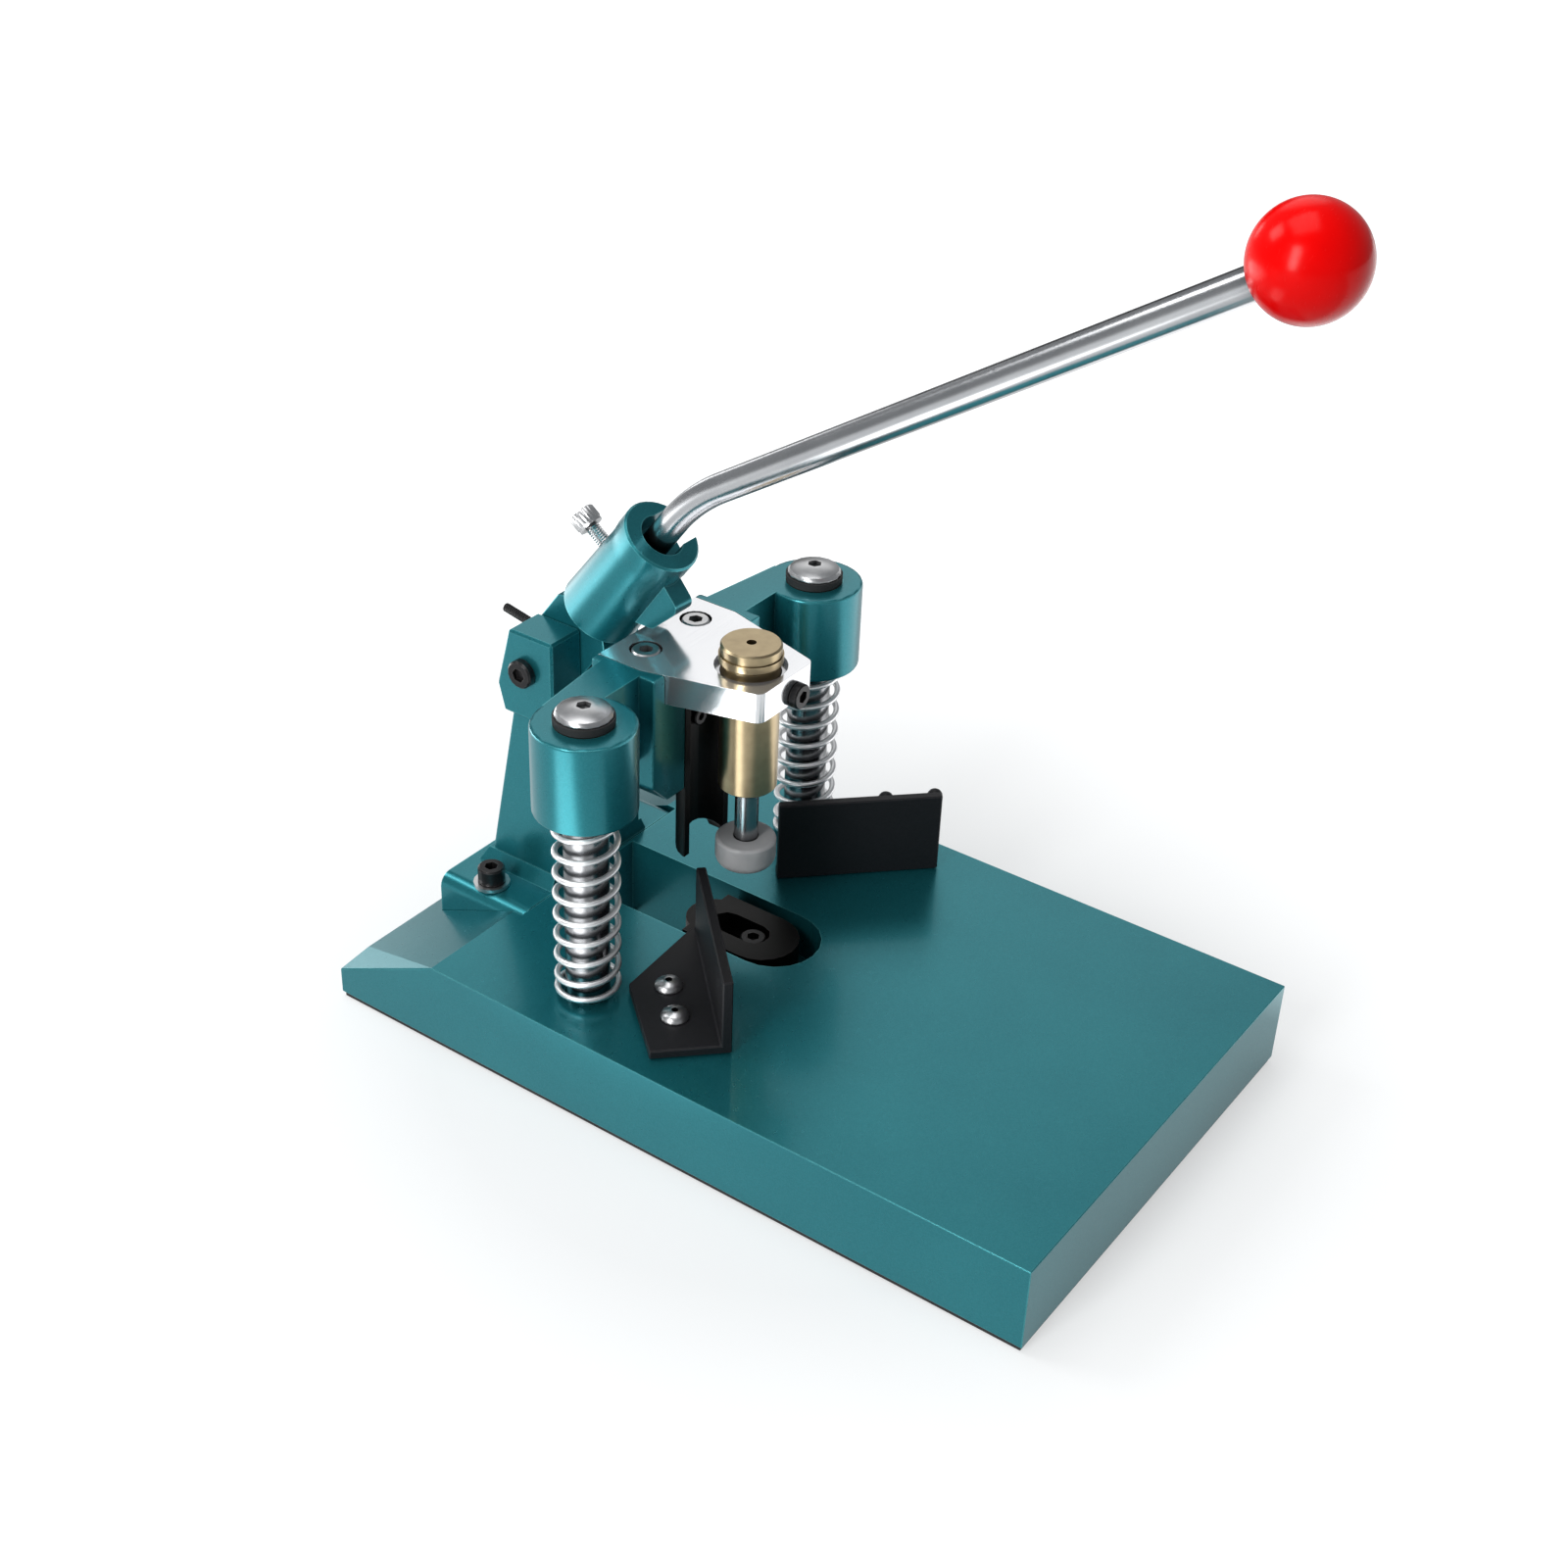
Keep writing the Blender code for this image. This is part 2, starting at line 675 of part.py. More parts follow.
def guide_screw_places():
    """Each guide's side, and where its two screws go into the table."""
    left = [guide_point(-1, LEFT_NEAR, at, LEFT_SCREW_DEPTH) for at in LEFT_SCREWS_AT]
    right = [guide_point(1, RIGHT_NEAR, at, RIGHT_SCREW_DEPTH) for at in RIGHT_SCREWS_AT]
    return {"left": left, "right": right}


def make_base_plate():
    half_width = BASE_WIDTH / 2
    half_length = BASE_LENGTH / 2
    side_view = [(-half_length, BASE_BOTTOM), (half_length, BASE_BOTTOM),
                 (half_length, REAR_EDGE_HEIGHT), (KNEE_Y, TABLE_TOP), (-half_length, TABLE_TOP)]
    plate = prism("base_plate", side_view, -half_width, half_width, TEAL, along="X")
    for sign in (-1, 1):
        cut(plate, side_band(sign))
    plate = as_mesh(plate, TEAL)
    round_edges(plate, TABLE_EDGE_ROUND)
    pocket = box("foot_pocket",
                 (-FOOT_BLOCK_HALF_WIDTH - REST_GAP, FOOT_BLOCK_FRONT - REST_GAP,
                  FOOT_BLOCK_BOTTOM - REST_GAP),
                 (FOOT_BLOCK_HALF_WIDTH + REST_GAP, FOOT_BLOCK_REAR + REST_GAP, TABLE_TOP + OVERRUN))
    recess = prism("die_recess", channel_outline(CHANNEL_HALF_WIDTH, CHANNEL_FRONT, CHANNEL_REAR),
                   DIE_SEAT, TABLE_TOP + OVERRUN)
    chute = box("chute", (-CHANNEL_HALF_WIDTH, CHUTE_FRONT, BASE_BOTTOM - OVERRUN),
                (CHANNEL_HALF_WIDTH, CHANNEL_REAR, TABLE_TOP + OVERRUN))
    cut(plate, pocket, recess, chute)
    cut(plate, hole("die_screw_hole", DIE_SCREW_RADIUS + THREAD_GAP, 0, DIE_SCREW_Y,
                    screw_bottom(die_screw_seat(), DIE_SCREW_DEPTH), DIE_SEAT + OVERRUN))
    for side, sign in (("left", -1), ("right", 1)):
        x = sign * POST_X
        cut(plate,
            hole("post_hole_" + side, POST_RADIUS + REST_GAP, x, POST_Y, POST_SEAT, TABLE_TOP + OVERRUN,
                 ROUND_SIDES),
            hole("anchor_hole_" + side, ANCHOR_SCREW_RADIUS + HEAD_CLEARANCE, x, POST_Y,
                 BASE_BOTTOM, POST_SEAT + OVERRUN),
            hole("anchor_counterbore_" + side, ANCHOR_SCREW_HEAD_RADIUS + HEAD_CLEARANCE, x, POST_Y,
                 BASE_BOTTOM - OVERRUN, anchor_seat()),
            hole("bracket_hole_" + side, BRACKET_SCREW_RADIUS + THREAD_GAP, sign * BRACKET_SCREW_X,
                 BRACKET_SCREW_Y, screw_bottom(bracket_screw_seat(), BRACKET_SCREW_DEPTH),
                 FOOT_BLOCK_BOTTOM + OVERRUN))
    for side, places in guide_screw_places().items():
        for number, (x, y) in enumerate(places):
            cut(plate, hole("guide_hole_%s_%d" % (side, number), GUIDE_SCREW_RADIUS + THREAD_GAP, x, y,
                            screw_bottom(guide_screw_seat(), GUIDE_SCREW_DEPTH), TABLE_TOP + OVERRUN))
    return plate


def side_band(sign):
    """The shallow wedge taken off the sloped rear part along each side."""
    inner = BASE_WIDTH / 2 - SIDE_BAND_WIDTH
    outer = BASE_WIDTH / 2 + OVERRUN
    rear = BASE_LENGTH / 2 + OVERRUN
    run = rear - KNEE_Y
    low = TABLE_TOP - run * SLOPE_FALL
    drop = SIDE_BAND_DROP * (outer - inner) / SIDE_BAND_WIDTH
    high = TABLE_TOP + OVERRUN
    front = [(inner, KNEE_Y, TABLE_TOP), (outer, KNEE_Y, TABLE_TOP),
             (outer, KNEE_Y, high), (inner, KNEE_Y, high)]
    back = [(inner, rear, low), (outer, rear, low - drop), (outer, rear, high), (inner, rear, high)]
    rings = [[(sign * x, y, z) for x, y, z in ring] for ring in (front, back)]
    return loft("side_band", rings)


def screw_bottom(seat, depth):
    return seat - depth - HOLE_SPARE_DEPTH


def die_screw_seat():
    return DIE_TOP - DIE_SLOT_DEPTH + REST_GAP


def guide_screw_seat():
    return TABLE_TOP + REST_GAP + GUIDE_THICKNESS + REST_GAP


def bracket_screw_seat():
    return TABLE_TOP + REST_GAP + BRACKET_WASHER_THICKNESS + REST_GAP


def anchor_seat():
    return BASE_BOTTOM + REST_GAP + ANCHOR_SCREW_HEAD_HEIGHT + REST_GAP


def make_base_mat():
    half_width = BASE_WIDTH / 2 - MAT_INSET
    half_length = BASE_LENGTH / 2 - MAT_INSET
    mat = box("base_mat", (-half_width, -half_length, 0), (half_width, half_length, MAT_THICKNESS), RUBBER)
    cut(mat, box("mat_opening", (-CHANNEL_HALF_WIDTH, CHUTE_FRONT, -OVERRUN),
                 (CHANNEL_HALF_WIDTH, CHANNEL_REAR, MAT_THICKNESS + OVERRUN)))
    return mat


def make_die():
    """The black die: round in front, with the paper's corner radius on its cutting end."""
    cut_radius = CORNER_RADIUS - CUT_CLEARANCE
    shoulder = BLADE_FRONT - CUT_CLEARANCE
    half_angle = math.degrees(math.asin((shoulder - CUT_CENTRE_Y) / cut_radius))
    nose = arc((0, CUT_CENTRE_Y), cut_radius, half_angle, 180 - half_angle, 2 * ARC_STEPS)
    front = arc((0, DIE_FRONT + DIE_HALF_WIDTH), DIE_HALF_WIDTH, 180, 360, 2 * ARC_STEPS)
    outline = front + [(DIE_HALF_WIDTH, shoulder)] + nose + [(-DIE_HALF_WIDTH, shoulder)]
    die = prism("die_block", outline, DIE_BOTTOM, DIE_TOP, BLACK_STEEL)
    slot = channel_slot("die_slot", DIE_SLOT_HALF_WIDTH, DIE_SLOT_FRONT, DIE_SLOT_REAR,
                        DIE_TOP - DIE_SLOT_DEPTH, DIE_TOP + OVERRUN)
    shank_half_width = DIE_SCREW_RADIUS + HEAD_CLEARANCE
    inset = DIE_SLOT_HALF_WIDTH - shank_half_width
    shank_slot = channel_slot("die_shank_slot", shank_half_width, DIE_SLOT_FRONT + inset,
                              DIE_SLOT_REAR - inset, DIE_BOTTOM - OVERRUN, DIE_TOP)
    cut(die, slot, shank_slot)
    return die


def channel_slot(name, half_width, front, rear, low, high):
    """A slot with two round ends, along Y on the middle line."""
    outline = (arc((0, front + half_width), half_width, 180, 360)
               + arc((0, rear - half_width), half_width, 0, 180))
    return prism(name, outline, low, high)


def make_bracket():
    round_x = FOOT_BLOCK_HALF_WIDTH - FOOT_BLOCK_ROUND
    round_z = TABLE_TOP - FOOT_BLOCK_ROUND
    foot_outline = (
        [(-FOOT_BLOCK_HALF_WIDTH, FOOT_BLOCK_BOTTOM), (FOOT_BLOCK_HALF_WIDTH, FOOT_BLOCK_BOTTOM)]
        + arc((round_x, round_z), FOOT_BLOCK_ROUND, 0, 90)
        + arc((-round_x, round_z), FOOT_BLOCK_ROUND, 90, 180))
    bracket = prism("lever_bracket", foot_outline, FOOT_BLOCK_FRONT, FOOT_BLOCK_REAR, TEAL, along="Y")
    wide = COLUMN_BOTTOM_HALF_WIDTH
    narrow = COLUMN_TOP_HALF_WIDTH
    sunk = TABLE_TOP - OVERRUN
    column = frustum_block("column", sunk, (-wide, wide, COLUMN_FRONT, COLUMN_BOTTOM_REAR),
                           LEDGE_BOTTOM + OVERRUN, (-narrow, narrow, COLUMN_FRONT, COLUMN_TOP_REAR))
    round_edges(column, COLUMN_EDGE_ROUND)
    spread = wide + FLARE_SPREAD
    flare = frustum_block("column_flare", sunk,
                          (-spread, spread, COLUMN_FRONT, COLUMN_BOTTOM_REAR + FLARE_SPREAD),
                          TABLE_TOP + FLARE_HEIGHT, (-wide, wide, COLUMN_FRONT, COLUMN_BOTTOM_REAR))
    yoke_outline = [(COLUMN_FRONT, LEDGE_BOTTOM), (LEDGE_REAR, LEDGE_BOTTOM), (LUG_BULGE_Y, LUG_BULGE),
                    (LUG_TOP_REAR, LUG_TOP), (COLUMN_FRONT, LUG_TOP)]
    yoke = prism("yoke", yoke_outline, -LUG_HALF_WIDTH, LUG_HALF_WIDTH, along="X")
    round_edges(yoke, LUG_EDGE_ROUND, segments=1, angle=30)
    join(bracket, column, flare, yoke)
    gap = box("lug_gap", (-LUG_GAP_HALF_WIDTH, COLUMN_FRONT - OVERRUN, LUG_FLOOR),
              (LUG_GAP_HALF_WIDTH, LUG_BULGE_Y + OVERRUN, LUG_TOP + OVERRUN))
    pin_hole = cylinder("lug_hole", PIN_RADIUS + RUNNING_GAP, (-LUG_HALF_WIDTH - OVERRUN, PIVOT_Y, PIVOT_Z),
                        (LUG_HALF_WIDTH + OVERRUN, PIVOT_Y, PIVOT_Z), SMALL_SIDES)
    cut(bracket, gap, pin_hole)
    for side, sign in (("left", -1), ("right", 1)):
        cut(bracket, hole("foot_hole_" + side, BRACKET_SCREW_RADIUS + HEAD_CLEARANCE, sign * BRACKET_SCREW_X,
                          BRACKET_SCREW_Y, FOOT_BLOCK_BOTTOM - OVERRUN, TABLE_TOP + OVERRUN))
    return bracket


def ring(name, outer, inner, x, y, low, high, material, sides=ROUND_SIDES):
    tube = cylinder(name, outer, (x, y, low), (x, y, high), sides, material)
    cut(tube, hole(name + "_bore", inner, x, y, low - OVERRUN, high + OVERRUN, sides))
    return tube


def make_post(side, sign):
    """A ground post, seated in the table and tapped at both ends."""
    x = sign * POST_X
    bottom = POST_SEAT + REST_GAP
    post = cylinder("guide_post_" + side, POST_RADIUS, (x, POST_Y, bottom), (x, POST_Y, HEAD_TOP),
                    ROUND_SIDES, STEEL)
    round_edges(post, POST_END_BEVEL, segments=1)
    top_hole = hole("post_top_hole_" + side, POST_SCREW_RADIUS + THREAD_GAP, x, POST_Y,
                    screw_bottom(WASHER_TOP + REST_GAP, POST_SCREW_DEPTH), HEAD_TOP + OVERRUN)
    foot_hole = hole("post_foot_hole_" + side, ANCHOR_SCREW_RADIUS + THREAD_GAP, x, POST_Y,
                     bottom - OVERRUN, anchor_seat() + ANCHOR_SCREW_DEPTH + HOLE_SPARE_DEPTH)
    cut(post, top_hole, foot_hole)
    return post


def make_liner(side, sign):
    return ring("boss_liner_" + side, LINER_RADIUS, POST_RADIUS + RUNNING_GAP, sign * POST_X, POST_Y,
                BOSS_BOTTOM + REST_GAP, HEAD_TOP - REST_GAP, BRASS)


def make_post_washer(side, sign):
    return ring("post_washer_" + side, WASHER_RADIUS, POST_SCREW_RADIUS + HEAD_CLEARANCE, sign * POST_X,
                POST_Y, WASHER_BOTTOM, WASHER_TOP, RUBBER)


def make_return_spring(side, sign):
    return coil("return_spring_" + side, SPRING_RADIUS, SPRING_WIRE_RADIUS, SPRING_TURNS,
                TABLE_TOP + REST_GAP, BOSS_BOTTOM - REST_GAP, (sign * POST_X, POST_Y), STEEL)


def make_crosshead():
    """The teal casting that slides on the posts: a block, two arms and two bosses."""
    inner = BLOCK_HALF_WIDTH - BLOCK_CHAMFER
    shoulder = BLOCK_BOTTOM + BLOCK_CHAMFER
    block_outline = [(-inner, BLOCK_BOTTOM), (inner, BLOCK_BOTTOM), (BLOCK_HALF_WIDTH, shoulder),
                     (BLOCK_HALF_WIDTH, HEAD_TOP), (-BLOCK_HALF_WIDTH, HEAD_TOP),
                     (-BLOCK_HALF_WIDTH, shoulder)]
    head = loft("crosshead", [[(x, y, z) for x, z in block_outline] for y in (BLOCK_FRONT, BLOCK_REAR)], TEAL)
    round_edges(head, HEAD_EDGE_ROUND)
    arm_outline = [(-POST_X, ARM_FRONT), (POST_X, ARM_FRONT), (POST_X, ARM_REAR_AT_POST),
                   (0, BLOCK_REAR), (-POST_X, ARM_REAR_AT_POST)]
    join(head, prism("arms", arm_outline, BOSS_BOTTOM, HEAD_TOP))
    for side, sign in (("left", -1), ("right", 1)):
        x = sign * POST_X
        boss = cylinder("boss_" + side, BOSS_RADIUS, (x, POST_Y, BOSS_BOTTOM), (x, POST_Y, HEAD_TOP),
                        BIG_SIDES)
        round_edges(boss, HEAD_EDGE_ROUND)
        join(head, boss)
        cut(head, hole("boss_bore_" + side, LINER_RADIUS + REST_GAP, x, POST_Y,
                       BOSS_BOTTOM - OVERRUN, HEAD_TOP + OVERRUN, ROUND_SIDES))
    pocket_floor = PLATE_BOTTOM - REST_GAP
    slant = math.hypot(1, plate_taper())
    pocket_front = BLOCK_FRONT - OVERRUN
    mouth = PLATE_HALF_WIDTH - (PLATE_SHOULDER_Y - pocket_front) * plate_taper() + REST_GAP * slant
    shoulder = PLATE_HALF_WIDTH + REST_GAP
    pocket_side = [(mouth, pocket_front), (shoulder, PLATE_SHOULDER_Y), (shoulder, BLOCK_REAR + OVERRUN)]
    pocket = prism("plate_pocket", mirrored(pocket_side), pocket_floor, HEAD_TOP + OVERRUN)
    groove_radius = BLADE_BACK_RADIUS + REST_GAP
    groove_half_width = BLADE_HALF_WIDTH + REST_GAP
    first = math.degrees(math.acos(groove_half_width / groove_radius))
    groove_outline = [(-groove_half_width, pocket_front), (groove_half_width, pocket_front)] + arc(
        (0, BLADE_BACK_CENTRE_Y), groove_radius, first, 180 - first, 2 * ARC_STEPS)
    groove = prism("blade_groove", groove_outline, BLOCK_BOTTOM - OVERRUN, pocket_floor + OVERRUN)
    screw_end = blade_screw_seat() + BLADE_SCREW_DEPTH + HOLE_SPARE_DEPTH
    blade_hole = cylinder("blade_screw_hole", BLADE_SCREW_RADIUS + THREAD_GAP,
                          (0, BLADE_CREST_Y - OVERRUN, BLADE_SCREW_Z), (0, screw_end, BLADE_SCREW_Z),
                          SMALL_SIDES)
    cut(head, pocket, groove, blade_hole)
    for side, sign in (("left", -1), ("right", 1)):
        cut(head, hole("plate_screw_hole_" + side, PLATE_SCREW_RADIUS + THREAD_GAP, sign * PLATE_SCREW_X,
                       PLATE_SCREW_Y, screw_bottom(plate_screw_seat(), PLATE_SCREW_DEPTH),
                       pocket_floor + OVERRUN))
    return head


def plate_screw_seat():
    return HEAD_TOP - PLATE_SCREW_HEAD_HEIGHT


def blade_screw_seat():
    return HOLLOW_Y + SPOT_FACE_DEPTH - REST_GAP


def mirrored(side):
    """An outline from its right half, given from front to rear."""
    return side + [(-x, y) for x, y in reversed(side)]


def plate_taper():
    """How much the carrier plate widens on each side for its length, from its nose to its shoulder."""
    return (PLATE_HALF_WIDTH - PLATE_NOSE_HALF_WIDTH) / (PLATE_SHOULDER_Y - PLATE_NOSE_Y)


def plate_outline():
    lean = math.atan(plate_taper())
    inset = PLATE_NOSE_ROUND * (1 - math.sin(lean)) / math.cos(lean)
    nose = arc((PLATE_NOSE_HALF_WIDTH - inset, PLATE_NOSE_Y + PLATE_NOSE_ROUND), PLATE_NOSE_ROUND,
               -90, -math.degrees(lean))
    return mirrored(nose + [(PLATE_HALF_WIDTH, PLATE_SHOULDER_Y), (PLATE_HALF_WIDTH, PLATE_REAR)])


def make_carrier_plate():
    plate = prism("carrier_plate", plate_outline(), PLATE_BOTTOM, HEAD_TOP, ALUMINIUM)
    round_edges(plate, PLATE_EDGE_ROUND)
    cut(plate,
        hole("housing_bore", HOUSING_RADIUS + REST_GAP, 0, PRESSER_Y, PLATE_BOTTOM - OVERRUN,
             HEAD_TOP + OVERRUN, ROUND_SIDES),
        hole("cap_counterbore", COUNTERBORE_RADIUS, 0, PRESSER_Y, HEAD_TOP - COUNTERBORE_DEPTH,
             HEAD_TOP + OVERRUN, ROUND_SIDES),
        cylinder("housing_screw_hole", HOUSING_SCREW_RADIUS + THREAD_GAP,
                 (HOUSING_SCREW_X, PLATE_NOSE_Y - OVERRUN, HOUSING_SCREW_Z),
                 (HOUSING_SCREW_X, PRESSER_Y, HOUSING_SCREW_Z), SMALL_SIDES))
    for side, sign in (("left", -1), ("right", 1)):
        x = sign * PLATE_SCREW_X
        cut(plate,
            hole("plate_hole_" + side, PLATE_SCREW_RADIUS + HEAD_CLEARANCE, x, PLATE_SCREW_Y,
                 PLATE_BOTTOM - OVERRUN, HEAD_TOP + OVERRUN),
            hole("plate_counterbore_" + side, PLATE_SCREW_HEAD_RADIUS + HEAD_CLEARANCE, x, PLATE_SCREW_Y,
                 plate_screw_seat() - REST_GAP, HEAD_TOP + OVERRUN))
    return plate


def make_blade():
    """The black blade: a gouge with a hollow cutting face, two heels and an arch between them."""
    half_angle = math.degrees(math.asin((BLADE_FRONT - CUT_CENTRE_Y) / CORNER_RADIUS))
    face = arc((0, CUT_CENTRE_Y), CORNER_RADIUS, 180 - half_angle, half_angle, 2 * ARC_STEPS)
    first = math.degrees(math.acos(BLADE_HALF_WIDTH / BLADE_BACK_RADIUS))
    back = arc((0, BLADE_BACK_CENTRE_Y), BLADE_BACK_RADIUS, first, 180 - first, 2 * ARC_STEPS)
    outline = [(-BLADE_HALF_WIDTH, BLADE_FRONT)] + face + [(BLADE_HALF_WIDTH, BLADE_FRONT)] + back
    blade = prism("blade", outline, HEEL_BOTTOM, BLADE_TOP, BLACK_STEEL)
    arch_outline = [(-ARCH_HALF_WIDTH, HEEL_BOTTOM - OVERRUN), (ARCH_HALF_WIDTH, HEEL_BOTTOM - OVERRUN)]
    for x, height in arc((0, 0), 1, 0, 180, 2 * ARC_STEPS):
        arch_outline.append((x * ARCH_HALF_WIDTH, HEEL_BOTTOM + height * ARCH_HEIGHT))
    arch = prism("blade_arch", arch_outline, BLADE_FRONT - OVERRUN, BLADE_CREST_Y + OVERRUN, along="Y")
    spot_face = cylinder("blade_spot_face", BLADE_SCREW_HEAD_RADIUS + HEAD_CLEARANCE,
                         (0, BLADE_FRONT, BLADE_SCREW_Z), (0, HOLLOW_Y + SPOT_FACE_DEPTH, BLADE_SCREW_Z),
                         SMALL_SIDES)
    shank_hole = cylinder("blade_hole", BLADE_SCREW_RADIUS + THREAD_GAP, (0, BLADE_FRONT, BLADE_SCREW_Z),
                          (0, BLADE_CREST_Y + OVERRUN, BLADE_SCREW_Z), SMALL_SIDES)
    cut(blade, arch, spot_face, shank_hole)
    return blade


def make_housing():
    middle = (0, PRESSER_Y)
    housing = cylinder("presser_housing", HOUSING_RADIUS, (*middle, HOUSING_BOTTOM), (*middle, HOUSING_TOP),
                       ROUND_SIDES, BRASS)
    round_edges(housing, HOUSING_EDGE_BEVEL, segments=1)
    cut(housing,
        hole("spring_bore", HOUSING_BORE_RADIUS, *middle, HOUSING_BOTTOM + HOUSING_FLOOR,
             HOUSING_TOP + OVERRUN, ROUND_SIDES),
        hole("rod_bore", ROD_RADIUS + RUNNING_GAP, *middle, HOUSING_BOTTOM - OVERRUN,
             HOUSING_BOTTOM + HOUSING_FLOOR + OVERRUN))
    return housing


def make_cap():
    """The brass cap, screwed into the housing over the spring, with a small hole in its middle."""
    plug_radius = HOUSING_BORE_RADIUS - THREAD_GAP
    edge = HOUSING_EDGE_BEVEL
    profile = [
        (0, CAP_TOP), (CAP_RADIUS - CAP_STEP - edge, CAP_TOP), (CAP_RADIUS - CAP_STEP, CAP_TOP - edge),
        (CAP_RADIUS - CAP_STEP, CAP_BOTTOM + CAP_SKIRT_HEIGHT), (CAP_RADIUS, CAP_BOTTOM + CAP_SKIRT_HEIGHT),
        (CAP_RADIUS, CAP_BOTTOM), (plug_radius, CAP_BOTTOM),
        (plug_radius, CAP_BOTTOM - CAP_PLUG_LENGTH), (0, CAP_BOTTOM - CAP_PLUG_LENGTH)]
    cap = turned("presser_cap", profile, (0, PRESSER_Y, 0), (0, PRESSER_Y, CAP_TOP), BIG_SIDES, BRASS)
    cut(cap, hole("cap_hole", CAP_HOLE_RADIUS, 0, PRESSER_Y, CAP_BOTTOM - CAP_PLUG_LENGTH - OVERRUN,
                  CAP_TOP + OVERRUN))
    return cap


def make_housing_screw():
    """The black screw in the plate's nose that clamps the presser's housing."""
    seat = PLATE_NOSE_Y - REST_GAP
    tip = PRESSER_Y - HOUSING_RADIUS - REST_GAP
    mesh = cap_screw(HOUSING_SCREW_RADIUS, HOUSING_SCREW_HEAD_RADIUS, HOUSING_SCREW_HEAD_HEIGHT, tip - seat,
                     "housing_screw")
    front = seat - HOUSING_SCREW_HEAD_HEIGHT
    place = toward((HOUSING_SCREW_X, seat, HOUSING_SCREW_Z), (HOUSING_SCREW_X, front, HOUSING_SCREW_Z))
    return fastener("housing_set_screw", mesh, place, BLACK_SCREW)


def make_rod():
    """The presser's rod: its collar rests on the housing's floor and carries the spring."""
    tail_top = COLLAR_TOP + ROD_TAIL_LENGTH
    rod_bottom = FOOT_TOP - FOOT_SOCKET_DEPTH + REST_GAP
    profile = [
        (0, tail_top), (ROD_TAIL_RADIUS, tail_top), (ROD_TAIL_RADIUS, COLLAR_TOP),
        (ROD_COLLAR_RADIUS, COLLAR_TOP), (ROD_COLLAR_RADIUS, COLLAR_BOTTOM), (ROD_RADIUS, COLLAR_BOTTOM),
        (ROD_RADIUS, rod_bottom), (0, rod_bottom)]
    return turned("presser_rod", profile, (0, PRESSER_Y, 0), (0, PRESSER_Y, tail_top), ROUND_SIDES, STEEL)


def make_foot():
    upper = arc((FOOT_RADIUS - FOOT_ROUND, FOOT_TOP - FOOT_ROUND), FOOT_ROUND, 90, 0)
    lower = [(radius, FOOT_TOP + FOOT_BOTTOM - height) for radius, height in reversed(upper)]
    socket_radius = ROD_RADIUS + REST_GAP
    socket_floor = FOOT_TOP - FOOT_SOCKET_DEPTH
    profile = ([(0, socket_floor), (socket_radius, socket_floor), (socket_radius, FOOT_TOP)]
               + upper + lower + [(0, FOOT_BOTTOM)])
    return turned("presser_foot", profile, (0, PRESSER_Y, 0), (0, PRESSER_Y, FOOT_TOP), BIG_SIDES, NYLON)


def make_presser_spring():
    return coil("presser_spring", PRESSER_SPRING_RADIUS, PRESSER_SPRING_WIRE_RADIUS, PRESSER_SPRING_TURNS,
                COLLAR_TOP + REST_GAP, CAP_BOTTOM - CAP_PLUG_LENGTH - REST_GAP, (0, PRESSER_Y), STEEL)


